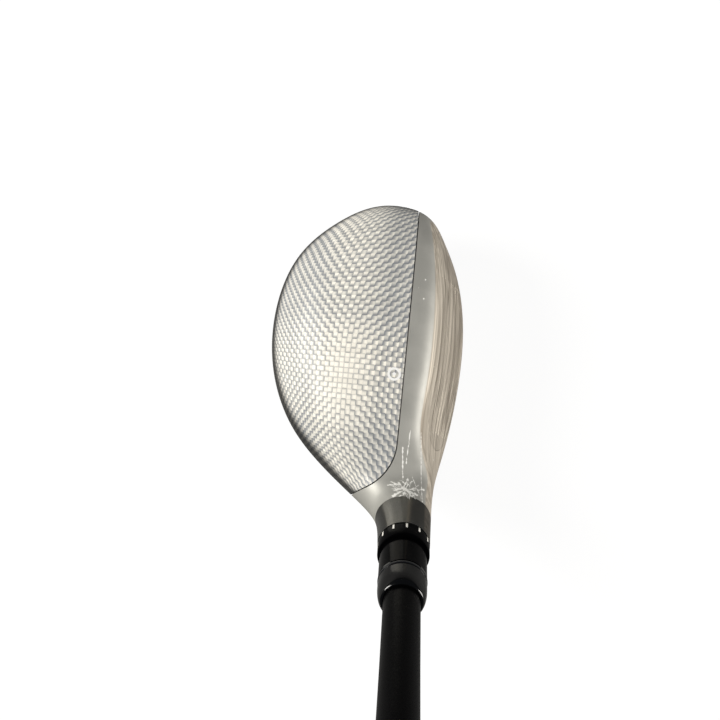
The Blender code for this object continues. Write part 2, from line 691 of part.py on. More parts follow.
# ================================================================ hosel bolt
def make_bolt():
    """The captive bolt, the washer it bears on and the ring that keeps it in the head."""
    washer_top = SHELF_BOTTOM - SEAT_GAP
    washer_bottom = washer_top - WASHER_THICKNESS
    head_top = washer_bottom - SEAT_GAP
    head_bottom = head_top - BOLT_HEAD_HEIGHT
    tip = SLEEVE_BOTTOM + BOLT_ENGAGED
    chamfer = 0.5 * MM
    bolt = turned(
        "hosel_bolt",
        [
            (0, tip),
            (BOLT_RADIUS - chamfer, tip),
            (BOLT_RADIUS, tip - chamfer),
            (BOLT_RADIUS, head_top),
            (BOLT_HEAD_RADIUS, head_top),
            (BOLT_HEAD_RADIUS, head_bottom + chamfer),
            (BOLT_HEAD_RADIUS - chamfer, head_bottom),
            (0, head_bottom),
        ],
        ZINC,
        hosel_axis,
    )
    cut(bolt, prism("bolt_drive", lobes(BOLT_DRIVE, 6, 0.22), head_bottom - CUT, head_bottom + BOLT_DRIVE_DEPTH,
                    parent=hosel_axis))
    turned(
        "bolt_washer",
        round_ring(BOLT_RADIUS + SLIDE_GAP, PORT_RADIUS - SEAT_GAP, washer_bottom, washer_top),
        ZINC,
        hosel_axis,
        ring=True,
        steps=24,
    )
    low = SHELF_TOP + SEAT_GAP
    turned(
        "bolt_retainer",
        round_ring(BOLT_RADIUS + SLIDE_GAP, RETAINER_RADIUS, low, low + RETAINER_THICKNESS),
        SOFT_BLACK,
        hosel_axis,
        ring=True,
        steps=24,
    )


# ================================================================ sleeve, ferrule and shaft
def on_shaft(height):
    """A height on the hosel's axis from its end, as a height on the shaft's axis from the pivot."""
    return height + PIVOT_DEPTH


def make_sleeve():
    """The loft sleeve: body, splines and collar on the hosel's axis, and an upper part on the shaft's."""
    chamfer = 0.4 * MM
    root = SLEEVE_RADIUS
    sleeve = turned(
        "loft_sleeve",
        [
            (0, SEAT_GAP + COLLAR_HEIGHT),
            (HOSEL_RADIUS - chamfer, SEAT_GAP + COLLAR_HEIGHT),
            (HOSEL_RADIUS, SEAT_GAP + COLLAR_HEIGHT - chamfer),
            (HOSEL_RADIUS, SEAT_GAP),
            (root, SEAT_GAP),
            (root, SLEEVE_BOTTOM + chamfer),
            (root - chamfer, SLEEVE_BOTTOM),
            (0, SLEEVE_BOTTOM),
        ],
        BLACK_ALLOY,
        hosel_axis,
    )
    overlap = 0.5 * MM
    teeth = prism("sleeve_splines", spline_outline(root - overlap, SPLINE_TIP), -SPLINE_LENGTH, SEAT_GAP + overlap,
                  parent=hosel_axis)
    upper_low = on_shaft(SEAT_GAP + COLLAR_HEIGHT)
    upper_radius = HOSEL_RADIUS - UPPER_INSET
    upper_high = upper_low + UPPER_HEIGHT
    upper = turned("sleeve_upper", [(0, upper_high), (upper_radius, upper_high),
                                    (upper_radius, upper_low - COLLAR_HEIGHT / 2),
                                    (0, upper_low - COLLAR_HEIGHT / 2)], parent=shaft_axis)
    boolean(sleeve, "UNION", teeth)
    boolean(sleeve, "UNION", upper)
    bore = rod("shaft_bore", SLEEVE_BORE, on_shaft(-SHAFT_DEPTH), upper_high + CUT, parent=shaft_axis)
    tapped = rod("tapped_hole", BOLT_RADIUS + SLIDE_GAP, SLEEVE_BOTTOM - CUT, -SHAFT_DEPTH + CUT / 4,
                 parent=hosel_axis, steps=24)
    cut(sleeve, bore, tapped)


def shaft_radius(height):
    """The shaft's outer radius at a height from its tip: parallel at the tip, then an even taper."""
    taper = (BUTT_RADIUS - TIP_RADIUS) / (CLUB_LENGTH - GRIP_LENGTH / 2 - TIP_PARALLEL)
    return min(BUTT_RADIUS, TIP_RADIUS + max(0, height - TIP_PARALLEL) * taper)


PIVOT_FROM_GROUND = PIVOT.z / math.sin(LIE)
CLUB_END = CLUB_LENGTH - PIVOT_FROM_GROUND  # on the shaft's axis, from the pivot
SHAFT_LOW = on_shaft(-SHAFT_DEPTH) + SEAT_GAP
SHAFT_HIGH = CLUB_END - GRIP_CAP_HEIGHT - SEAT_GAP
GRIP_LOW = CLUB_END - GRIP_LENGTH


def radius_at(height):
    """The shaft's outer radius at a height on its axis from the pivot."""
    return shaft_radius(height - SHAFT_LOW)


def make_ferrule():
    """The bright trim ring on top of the sleeve, and the rounded ferrule above it."""
    trim_low = on_shaft(SEAT_GAP + COLLAR_HEIGHT) + UPPER_HEIGHT + SEAT_GAP
    bore = TIP_RADIUS + BOND_GAP
    outer = HOSEL_RADIUS - UPPER_INSET
    turned("trim_ring", round_ring(bore, outer + TRIM_PROUD, trim_low, trim_low + TRIM_HEIGHT), ALUMINIUM,
           shaft_axis, ring=True)
    low = trim_low + TRIM_HEIGHT + SEAT_GAP
    rim = bore + FERRULE_EDGE
    straight = FERRULE_HEIGHT * 0.35
    dome_steps = 6
    profile = [(bore, low + FERRULE_HEIGHT)]
    for i in range(dome_steps + 1):
        angle = math.pi / 2 * (1 - i / dome_steps)
        radius = rim + (outer - rim) * math.cos(angle)
        profile.append((radius, low + straight + (FERRULE_HEIGHT - straight) * math.sin(angle)))
    profile += [(outer, low), (bore, low)]
    turned("ferrule", profile, BLACK_PLASTIC, shaft_axis, ring=True)


def make_shaft():
    full_radius = SHAFT_LOW + CLUB_LENGTH - GRIP_LENGTH / 2
    knots = [SHAFT_LOW, SHAFT_LOW + TIP_PARALLEL, full_radius, SHAFT_HIGH]
    outside = [(radius_at(height), height) for height in reversed(knots)]
    inside = [(radius_at(height) - SHAFT_WALL, height) for height in knots]
    turned("shaft", outside + inside, MATTE_BLACK, shaft_axis, ring=True)

    plug_radius = TIP_RADIUS - SHAFT_WALL - BOND_GAP
    chamfer = 0.4 * MM
    rod_low = SHAFT_LOW + SEAT_GAP
    turned(
        "tip_plug",
        [
            (0, rod_low + PLUG_LENGTH),
            (plug_radius - chamfer, rod_low + PLUG_LENGTH),
            (plug_radius, rod_low + PLUG_LENGTH - chamfer),
            (plug_radius, rod_low),
            (0, rod_low),
        ],
        BRASS,
        shaft_axis,
        steps=24,
    )


# ================================================================ grip
def make_grip():
    """The rubber grip with its grooved mouth band, its vented cap and the tape under it."""
    tape_in = [BOND_GAP, BOND_GAP + TAPE_THICKNESS]
    tape_low, tape_high = GRIP_LOW + 4 * MM, SHAFT_HIGH - 2 * MM
    middle = SHAFT_LOW + CLUB_LENGTH - GRIP_LENGTH / 2
    heights = [tape_high, middle, tape_low]
    outside = [(radius_at(height) + tape_in[1], height) for height in heights]
    inside = [(radius_at(height) + tape_in[0], height) for height in reversed(heights)]
    turned("grip_tape", outside + inside, TAPE, shaft_axis, ring=True)

    wall_gap = tape_in[1] + BOND_GAP
    grip_high = CLUB_END - GRIP_CAP_HEIGHT
    groove = 0.5 * MM
    band = 2.2 * MM
    profile = [
        (GRIP_CAP_RADIUS, grip_high),
        (GRIP_CAP_RADIUS - 0.3 * MM, grip_high - 4 * MM),
        (GRIP_UPPER_RADIUS + 0.6 * MM, grip_high - 14 * MM),
        (GRIP_UPPER_RADIUS, grip_high - 40 * MM),
        (GRIP_LOWER_RADIUS, GRIP_LOW + GRIP_LENGTH * 0.45),
        (GRIP_MOUTH_RADIUS + 0.7 * MM, GRIP_LOW + 24 * MM),
    ]
    for i in range(3):
        high = GRIP_LOW + 21 * MM - i * 3 * band
        radius = GRIP_MOUTH_RADIUS + (0.55 - 0.12 * i) * MM
        profile += [(radius, high), (radius - groove, high - 0.4 * MM), (radius - groove, high - band + 0.4 * MM),
                    (radius, high - band)]
    profile += [(GRIP_MOUTH_RADIUS, GRIP_LOW + 1.5 * MM), (GRIP_MOUTH_RADIUS - 0.6 * MM, GRIP_LOW)]
    inside = [(radius_at(height) + wall_gap, height) for height in (GRIP_LOW, middle, grip_high)]
    turned("grip", profile + inside, RUBBER, shaft_axis, ring=True)

    cap_low = grip_high + SEAT_GAP
    edge = 1.6 * MM
    cap = [
        (VENT_RADIUS, CLUB_END),
        (GRIP_CAP_RADIUS - 2 * edge, CLUB_END),
        (GRIP_CAP_RADIUS - 0.8 * edge, CLUB_END - 0.35 * edge),
        (GRIP_CAP_RADIUS - 0.2 * edge, CLUB_END - edge),
        (GRIP_CAP_RADIUS, CLUB_END - 1.7 * edge),
        (GRIP_CAP_RADIUS, cap_low),
        (VENT_RADIUS, cap_low),
    ]
    turned("grip_cap", cap, SOFT_BLACK, shaft_axis, ring=True)


def main():
    sole = head_form("sole_probe")
    point, normal = surface_at(sole, WEIGHT_X, WEIGHT_Y, -CUT, 1)
    weight_frame = axis_empty("weight_axis", point, normal)
    bpy.data.objects.remove(sole)
    make_head(weight_frame)
    make_weight(weight_frame)
    make_bolt()
    make_sleeve()
    make_ferrule()
    make_shaft()
    make_grip()


main()
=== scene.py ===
"""Visual model of a left-handed hybrid golf club, standing at address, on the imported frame.

Axes are the frame's: +X towards the target, +Y towards the toe, +Z up, in metres, with the origin on the
keel's flat in the plane of the shaft.
"""

import logging
import math
import random
from collections.abc import Callable, Sequence
from dataclasses import dataclass, field
from enum import Enum

import bmesh
import bpy
import numpy as np
from mathutils import Matrix, Vector


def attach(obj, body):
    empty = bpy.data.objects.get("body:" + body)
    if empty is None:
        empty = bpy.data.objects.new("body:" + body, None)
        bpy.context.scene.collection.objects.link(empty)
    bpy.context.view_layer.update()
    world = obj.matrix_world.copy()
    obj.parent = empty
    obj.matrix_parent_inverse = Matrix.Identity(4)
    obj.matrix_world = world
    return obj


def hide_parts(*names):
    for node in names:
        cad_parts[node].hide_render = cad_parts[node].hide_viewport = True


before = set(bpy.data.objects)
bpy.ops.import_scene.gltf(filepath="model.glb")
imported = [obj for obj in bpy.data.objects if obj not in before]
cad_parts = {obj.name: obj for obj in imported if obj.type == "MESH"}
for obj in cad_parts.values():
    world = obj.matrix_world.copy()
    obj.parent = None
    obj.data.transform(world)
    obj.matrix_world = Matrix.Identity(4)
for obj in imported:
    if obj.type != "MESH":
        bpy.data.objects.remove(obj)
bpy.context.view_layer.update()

logging.basicConfig(level=logging.INFO, format="%(message)s")
LOG = logging.getLogger("hybrid")

MM = 0.001
Colour = tuple[float, float, float]
Outline = Sequence[tuple[float, float]]


class Body(Enum):
    """The moving bodies of the frame."""

    SHAFT = "shaft_assembly"
    HEAD = "head"
    BOLT = "bolt"
    SEAL = "seal"
    WEIGHT = "weight"


# ====================================================================== axes
@dataclass(frozen=True)
class Axis:
    """A straight line in space that turned pieces are built about."""

    point: Vector
    up: Vector

    def matrix(self) -> Matrix:
        """The frame whose origin is the point and whose +Z runs along the axis."""
        return Matrix.Translation(self.point) @ self.up.to_track_quat("Z", "Y").to_matrix().to_4x4()

    def at(self, height: float) -> Vector:
        """The point on the axis at a height above its origin."""
        return self.point + height * self.up


LIE = math.radians(59.5)
HOSEL_LIE = LIE + math.radians(1.5)
HOSEL_LENGTH = 57.1 * MM
HOSEL_GROUND_Y = -28.6 * MM
PIVOT_DEPTH = 12.0 * MM
HOSEL_UP = Vector((0, -math.cos(HOSEL_LIE), math.sin(HOSEL_LIE)))
SHAFT_UP = Vector((0, -math.cos(LIE), math.sin(LIE)))
HOSEL_END = Vector((0, HOSEL_GROUND_Y, 0)) + HOSEL_LENGTH * HOSEL_UP
HOSEL = Axis(HOSEL_END, HOSEL_UP)
SHAFT = Axis(HOSEL_END - PIVOT_DEPTH * HOSEL_UP, SHAFT_UP)


# ====================================================================== mesh tools
def new_object(name: str, mesh: bpy.types.Mesh) -> bpy.types.Object:
    """Links a mesh to the scene under a name.

    Args:
        name: The object's name.
        mesh: Its mesh.

    Returns:
        The new object, at the origin.
    """
    obj = bpy.data.objects.new(name, mesh)
    bpy.context.scene.collection.objects.link(obj)
    return obj


def evaluated_mesh(obj: bpy.types.Object) -> bpy.types.Mesh:
    """A plain copy of an object's mesh with its modifiers applied, placed in the world."""
    bpy.context.view_layer.update()
    graph = bpy.context.evaluated_depsgraph_get()
    mesh = bpy.data.meshes.new_from_object(obj.evaluated_get(graph), depsgraph=graph)
    mesh.transform(obj.matrix_world)
    return mesh


def settle(obj: bpy.types.Object) -> bpy.types.Object:
    """Replaces an object's mesh by its evaluated one and drops its modifiers and its placement."""
    mesh = evaluated_mesh(obj)
    old = obj.data
    obj.modifiers.clear()
    obj.data = mesh
    obj.parent = None
    obj.matrix_world = Matrix.Identity(4)
    if old.users == 0 and isinstance(old, bpy.types.Mesh):
        bpy.data.meshes.remove(old)
    return obj


def drop(*objects: bpy.types.Object) -> None:
    """Removes helper objects."""
    for obj in objects:
        bpy.data.objects.remove(obj, do_unlink=True)


def shade(obj: bpy.types.Object, angle: float = 32.0) -> bpy.types.Object:
    """Smooth shading with creases kept sharp above an angle in degrees."""
    obj.data.shade_smooth()
    obj.data.set_sharp_from_angle(angle=math.radians(angle))
    return obj


def boolean(obj: bpy.types.Object, operation: str, other: bpy.types.Object) -> None:
    """Adds a Boolean modifier.

    Args:
        obj: The object that is changed.
        operation: DIFFERENCE, UNION or INTERSECT.
        other: The object that it is cut by or joined to.
    """
    modifier = obj.modifiers.new(operation.lower(), "BOOLEAN")
    modifier.operation = operation
    modifier.object = other


def bevel(obj: bpy.types.Object, width: float, segments: int = 2, angle: float = 40.0) -> None:
    """Rounds an object's sharp edges."""
    modifier = obj.modifiers.new("edge", "BEVEL")
    modifier.width = width
    modifier.segments = segments
    modifier.limit_method = "ANGLE"
    modifier.angle_limit = math.radians(angle)
    modifier.harden_normals = False


def turned(name: str, profile: Outline, axis: Axis, ring: bool = False, steps: int = 128) -> bpy.types.Object:
    """A turned piece about an axis.

    Args:
        name: The object's name.
        profile: Radius and height pairs, down the outer side.
        axis: The line it is turned about.
        ring: Whether the profile closes on itself and not on the axis.
        steps: Facets round the piece.

    Returns:
        The object, with its place in its mesh.
    """
    edit = bmesh.new()
    loops = []
    for radius, height in profile:
        if radius == 0:
            loops.append([edit.verts.new((0, 0, height))] * steps)
            continue
        turns = [math.tau * i / steps for i in range(steps)]
        loops.append([edit.verts.new((radius * math.cos(t), radius * math.sin(t), height)) for t in turns])
    pairs = list(zip(loops, loops[1:]))
    if ring:
        pairs.append((loops[-1], loops[0]))
    for upper, lower in pairs:
        for i in range(steps):
            j = (i + 1) % steps
            corners = [upper[i], lower[i], lower[j], upper[j]]
            unique = list(dict.fromkeys(corners))
            if len(unique) > 2:
                edit.faces.new(unique)
    bmesh.ops.recalc_face_normals(edit, faces=edit.faces)
    mesh = bpy.data.meshes.new(name)
    edit.to_mesh(mesh)
    edit.free()
    mesh.transform(axis.matrix())
    return shade(new_object(name, mesh))


def square(half: float) -> Outline:
    """A square outline about the origin."""
    return [(-half, -half), (half, -half), (half, half), (-half, half)]


def prism(name: str, outline: Outline, low: float, high: float,
          matrix: Matrix | None = None) -> bpy.types.Object:
    """A flat outline in local X and Y run from low to high along Z.

    Args:
        name: The object's name.
        outline: Its corners, in order.
        low: Height of its lower end.
        high: Height of its upper end.
        matrix: Where it is placed.

    Returns:
        The object, with its place in its mesh.
    """
    edit = bmesh.new()
    bottom = [edit.verts.new((x, y, low)) for x, y in outline]
    top = [edit.verts.new((x, y, high)) for x, y in outline]
    edit.faces.new(bottom)
    edit.faces.new(top)
    for i in range(len(outline)):
        j = (i + 1) % len(outline)
        edit.faces.new((bottom[i], bottom[j], top[j], top[i]))
    bmesh.ops.recalc_face_normals(edit, faces=edit.faces)
    mesh = bpy.data.meshes.new(name)
    edit.to_mesh(mesh)
    edit.free()
    if matrix:
        mesh.transform(matrix)
    return new_object(name, mesh)


def rounded(points: list[Vector], passes: int = 3) -> list[Vector]:
    """A closed outline with its corners cut a few times, which rounds them."""
    for _ in range(passes):
        smoother = []
        for here, after in zip(points, points[1:] + points[:1]):
            smoother += [here.lerp(after, 0.25), here.lerp(after, 0.75)]
        points = smoother
    return points


def lobes(radius: float, count: int, share: float, per_lobe: int = 12) -> list[tuple[float, float]]:
    """A wavy round outline, as a lobed driver socket has."""
    points = []
    for i in range(count * per_lobe):
        angle = math.tau * i / (count * per_lobe)
        reach = radius * (1 - share * (1 - math.cos(count * angle)) / 2)
        points.append((reach * math.cos(angle), reach * math.sin(angle)))
    return points


# ====================================================================== shader tools
class Graph:
    """A node tree that is filled by short calls."""

    def __init__(self, tree: bpy.types.NodeTree) -> None:
        """Wraps a node tree.

        Args:
            tree: The tree to fill.
        """
        self.tree = tree

    def node(self, kind: str, feeds: dict[str, object] | None = None, **values: object) -> bpy.types.Node:
        """Adds a node.

        Args:
            kind: The node's type.
            feeds: What its sockets are linked or set to, by name.
            values: Its properties.

        Returns:
            The node.
        """
        made = self.tree.nodes.new(kind)
        for name, value in values.items():
            setattr(made, name, value)
        for name, value in (feeds or {}).items():
            self.feed(made.inputs[name], value)
        return made

    def feed(self, socket: bpy.types.NodeSocket, value: object) -> None:
        """Links a socket to the given one, or sets its value."""
        if isinstance(value, bpy.types.NodeSocket):
            self.tree.links.new(value, socket)
        elif value is not None:
            socket.default_value = value

    def row(self, kind: str, given: Sequence[object], **values: object) -> bpy.types.Node:
        """Adds a node whose sockets are fed in their order."""
        made = self.node(kind, **values)
        for socket, value in zip(made.inputs, given):
            self.feed(socket, value)
        return made

    def math(self, operation: str, *given: object, clamp: bool = False) -> bpy.types.NodeSocket:
        """A Math node's result."""
        return self.row("ShaderNodeMath", given, operation=operation, use_clamp=clamp).outputs[0]

    def plus(self, a: object, b: object) -> bpy.types.NodeSocket:
        """The sum of two numbers."""
        return self.math("ADD", a, b)

    def minus(self, a: object, b: object) -> bpy.types.NodeSocket:
        """The first number less the second."""
        return self.math("SUBTRACT", a, b)

    def times(self, a: object, b: object) -> bpy.types.NodeSocket:
        """The product of two numbers."""
        return self.math("MULTIPLY", a, b)

    def over(self, a: object, b: object) -> bpy.types.NodeSocket:
        """The first number divided by the second."""
        return self.math("DIVIDE", a, b)

    def vector(self, operation: str, *given: object) -> bpy.types.NodeSocket:
        """A Vector Math node's vector result, or its number for DISTANCE and DOT_PRODUCT."""
        made = self.row("ShaderNodeVectorMath", given, operation=operation)
        return made.outputs[1 if operation in ("DISTANCE", "DOT_PRODUCT") else 0]

    def split(self, value: object) -> tuple[bpy.types.NodeSocket, ...]:
        """The X, Y and Z of a vector."""
        return tuple(self.row("ShaderNodeSeparateXYZ", (value,)).outputs)

    def join(self, *given: object) -> bpy.types.NodeSocket:
        """A vector from three numbers."""
        return self.row("ShaderNodeCombineXYZ", given).outputs[0]

    def blend(self, factor: object, a: object, b: object, kind: str = "MIX") -> bpy.types.NodeSocket:
        """A mix of two colours."""
        made = self.node("ShaderNodeMix", data_type="RGBA", blend_type=kind)
        for index, value in ((0, factor), (6, a), (7, b)):
            self.feed(made.inputs[index], (*value, 1.0) if isinstance(value, tuple) else value)
        return made.outputs[2]

    def span(self, value: object, low: object, high: object, to_low: float = 0.0,
             to_high: float = 1.0) -> bpy.types.NodeSocket:
        """A value brought smoothly from one range to another."""
        given = (value, low, high, to_low, to_high)
        return self.row("ShaderNodeMapRange", given, interpolation_type="SMOOTHSTEP").outputs[0]

    def noise(self, vector: object, scale: object, detail: float = 3.0,
              roughness: float = 0.5) -> bpy.types.NodeSocket:
        """A noise texture's value."""
        feeds = {"Vector": vector, "Scale": scale, "Detail": detail, "Roughness": roughness}
        return self.node("ShaderNodeTexNoise", feeds).outputs[0]

    def stretch(self, vector: object, scale: Colour) -> bpy.types.NodeSocket:
        """A vector scaled along each axis."""
        return self.node("ShaderNodeMapping", {"Vector": vector, "Scale": scale}).outputs[0]

    def object_coords(self) -> bpy.types.NodeSocket:
        """The point in the frame's own axes."""
        return self.node("ShaderNodeTexCoord").outputs["Object"]

    def bump(self, height: object, strength: float, distance: float) -> bpy.types.NodeSocket:
        """A normal from a height."""
        feeds = {"Strength": strength, "Distance": distance, "Height": height}
        return self.node("ShaderNodeBump", feeds).outputs[0]


def shader_group(name: str, inputs: dict[str, tuple[str, object]], outputs: dict[str, str],
                 build: Callable[[Graph, bpy.types.Node, bpy.types.Node], None]) -> bpy.types.NodeTree:
    """A shader node group, built once.

    Args:
        name: The group's name.
        inputs: Socket type and default for each named input.
        outputs: Socket type for each named output.
        build: Fills the group from its input and output nodes.

    Returns:
        The group.
    """
    if name in bpy.data.node_groups:
        return bpy.data.node_groups[name]
    tree = bpy.data.node_groups.new(name, "ShaderNodeTree")
    for label, (kind, default) in inputs.items():
        socket = tree.interface.new_socket(label, in_out="INPUT", socket_type=kind)
        if default is not None:
            socket.default_value = default
    for label, kind in outputs.items():
        tree.interface.new_socket(label, in_out="OUTPUT", socket_type=kind)
    graph = Graph(tree)
    build(graph, graph.node("NodeGroupInput"), graph.node("NodeGroupOutput"))
    return tree


FLOAT = "NodeSocketFloat"
VECTOR = "NodeSocketVector"


def grain_group() -> bpy.types.NodeTree:
    """Fine cast or moulded grain, with slow patches: height and patch mask."""

    def build(g: Graph, given: bpy.types.Node, out: bpy.types.Node) -> None:
        """Fills the group."""
        where = given.outputs["Vector"]
        g.feed(out.inputs["Height"], g.noise(where, given.outputs["Grain Scale"], 4.0))
        g.feed(out.inputs["Patches"], g.span(g.noise(where, given.outputs["Patch Scale"]), 0.35, 0.65))

    inputs = {"Vector": (VECTOR, None), "Grain Scale": (FLOAT, 2500.0), "Patch Scale": (FLOAT, 60.0)}
    return shader_group("fine_grain", inputs, {"Height": FLOAT, "Patches": FLOAT}, build)


def streak_group() -> bpy.types.NodeTree:
    """A worn line between two points in plan. Wobble varies its width, and Gate breaks it up."""

    def build(g: Graph, given: bpy.types.Node, out: bpy.types.Node) -> None:
        """Fills the group: the distance to the segment, less a width."""
        start = given.outputs["Start"]
        along = g.vector("SUBTRACT", given.outputs["End"], start)
        away = g.vector("SUBTRACT", given.outputs["Place"], start)
        share = g.math("DIVIDE", g.vector("DOT_PRODUCT", away, along), g.vector("DOT_PRODUCT", along, along),
                       clamp=True)
        nearest = g.node("ShaderNodeVectorMath", {"Vector": along, "Scale": share}, operation="SCALE")
        distance = g.vector("DISTANCE", away, nearest.outputs[0])
        width = g.times(given.outputs["Width"], given.outputs["Wobble"])
        mask = g.span(distance, g.times(width, 0.5), width, 1.0, 0.0)
        kept = g.math("GREATER_THAN", given.outputs["Gate"], given.outputs["Breaks"])
        g.feed(out.inputs["Mask"], g.times(mask, kept))

    inputs = {"Place": (VECTOR, None), "Wobble": (FLOAT, 1.0), "Gate": (FLOAT, 1.0), "Start": (VECTOR, None),
              "End": (VECTOR, None), "Width": (FLOAT, 0.0003), "Breaks": (FLOAT, 0.0)}
    return shader_group("worn_streak", inputs, {"Mask": FLOAT}, build)


def weave_group() -> bpy.types.NodeTree:
    """A plain weave of flat tows under resin, from cloth coordinates in metres.

    It gives the place along the float on top, for each set of tows, the float's height, which arches along
    its own tow, and a value that varies by tow. Reach is how far each float runs past its own cell, as a
    share of the pitch, between the crossing floats.

    Returns:
        The node group.
    """

    def build(g: Graph, given: bpy.types.Node, out: bpy.types.Node) -> None:
        """Fills the group: the over-and-under test of each cell, then the arch of each float."""
        u, v, _ = g.split(given.outputs["Cloth"])
        across, along = g.over(u, given.outputs["Pitch"]), g.over(v, given.outputs["Pitch"])
        column, row = g.math("FLOOR", across), g.math("FLOOR", along)
        cell = g.math("FLOORED_MODULO", g.plus(column, row), 2.0)
        other = g.minus(1.0, cell)
        place_x = g.minus(g.math("FRACT", across), 0.5)
        place_y = g.minus(g.math("FRACT", along), 0.5)
        x, y = g.math("ABSOLUTE", place_x), g.math("ABSOLUTE", place_y)
        edge = g.minus(0.5, given.outputs["Reach"])
        out_x, out_y = g.math("GREATER_THAN", x, edge), g.math("GREATER_THAN", y, edge)
        warp_in = g.times(cell, g.times(out_y, g.minus(1.0, out_x)))
        weft_in = g.times(other, g.times(out_x, g.minus(1.0, out_y)))
        weft = g.plus(g.minus(cell, warp_in), weft_in)
        warp = g.minus(1.0, weft)
        on_warp = g.minus(place_y, g.times(cell, g.math("SIGN", place_y)))
        on_weft = g.minus(place_x, g.times(other, g.math("SIGN", place_x)))
        tow = g.plus(g.times(column, warp), g.times(g.plus(row, 500.5), weft))
        chance = g.node("ShaderNodeTexWhiteNoise", noise_dimensions="1D")
        g.feed(chance.inputs["W"], tow)
        for label, value in (
            ("Warp Place", g.times(on_warp, warp)),
            ("Weft Place", g.times(on_weft, weft)),
            ("Height", g.plus(g.times(arch(g, on_warp, x), warp), g.times(arch(g, on_weft, y), weft))),
            ("Tow", chance.outputs["Value"]),
        ):
            g.feed(out.inputs[label], value)

    def arch(g: Graph, along: object, across: object) -> bpy.types.NodeSocket:
        """A float's height: a cosine along the tow, nearly flat across it."""
        side = g.math("POWER", g.times(across, 2.0), 4.0)
        shoulder = g.minus(1.0, g.math("MINIMUM", side, 1.0))
        return g.times(g.math("COSINE", g.times(along, math.pi / 1.3)), shoulder)

    inputs = {"Cloth": (VECTOR, None), "Pitch": (FLOAT, 0.0015), "Reach": (FLOAT, 0.1)}
    outputs = {"Warp Place": FLOAT, "Weft Place": FLOAT, "Height": FLOAT, "Tow": FLOAT}
    return shader_group("tow_weave", inputs, outputs, build)


@dataclass(frozen=True)
class Finish:
    """A surface finish: the values set on its shader's own sockets."""

    name: str
    colour: Colour
    roughness: float = 0.5
    metallic: float = 0.0
    coat: float = 0.0
    coat_roughness: float = 0.05
    specular: float = 0.5

    def start(self) -> tuple[bpy.types.Material, Graph, bpy.types.Node]:
        """A material with the plain values set, its graph and its shader."""
        made = bpy.data.materials.new(self.name)
        made.use_nodes = True
        graph = Graph(made.node_tree)
        shader = made.node_tree.nodes["Principled BSDF"]
        for label, value in (("Base Color", (*self.colour, 1.0)), ("Roughness", self.roughness),
                             ("Metallic", self.metallic), ("Coat Weight", self.coat),
                             ("Coat Roughness", self.coat_roughness), ("Specular IOR Level", self.specular)):
            shader.inputs[label].default_value = value
        made.diffuse_color = (*self.colour, 1.0)
        return made, graph, shader

    def material(self) -> bpy.types.Material:
        """The finished material."""
        made, graph, shader = self.start()
        self.dress(graph, shader)
        return made

    def dress(self, g: Graph, shader: bpy.types.Node) -> None:
        """Adds the finish's pattern to its shader."""
        raise NotImplementedError


@dataclass(frozen=True)
class Grained(Finish):
    """A plain finish with a fine grain, patchy gloss and a little dust."""

    grain_scale: float = 2500.0
    patch_scale: float = 60.0
    relief: float = 0.00002
    variation: float = 0.12
    gloss_variation: float = 0.10

    def dress(self, g: Graph, shader: bpy.types.Node) -> None:
        """Adds grain, patches and relief."""
        grain = g.node("ShaderNodeGroup", node_tree=grain_group())
        g.feed(grain.inputs["Vector"], g.object_coords())
        grain.inputs["Grain Scale"].default_value = self.grain_scale
        grain.inputs["Patch Scale"].default_value = self.patch_scale
        dark = tuple(c * (1 - self.variation) for c in self.colour)
        light = tuple(min(1.0, c * (1 + self.variation)) for c in self.colour)
        g.feed(shader.inputs["Base Color"], g.blend(grain.outputs["Patches"], dark, light))
        low, high = self.roughness - self.gloss_variation / 2, self.roughness + self.gloss_variation / 2
        g.feed(shader.inputs["Roughness"], g.span(grain.outputs["Height"], 0.3, 0.7, low, high))
        g.feed(shader.inputs["Normal"], g.bump(grain.outputs["Height"], 0.6, self.relief))


def brushed_lines(g: Graph, where: object) -> object:
    """Fine brushed lines along the frame's Y, from toe to heel, as a share from dark to light."""
    lines = g.noise(g.stretch(where, (900.0, 14.0, 1500.0)), 1.0, 3.0, 0.6)
    wide = g.noise(g.stretch(where, (300.0, 6.0, 450.0)), 1.0, 2.0)
    return g.span(g.plus(g.times(lines, 0.7), g.times(wide, 0.3)), 0.34, 0.66)


@dataclass(frozen=True)
class Streak:
    """A worn line on the head, between two points in plan, in millimetres."""

    start: tuple[float, float]
    end: tuple[float, float]
    width: float
    breaks: float = 0.0


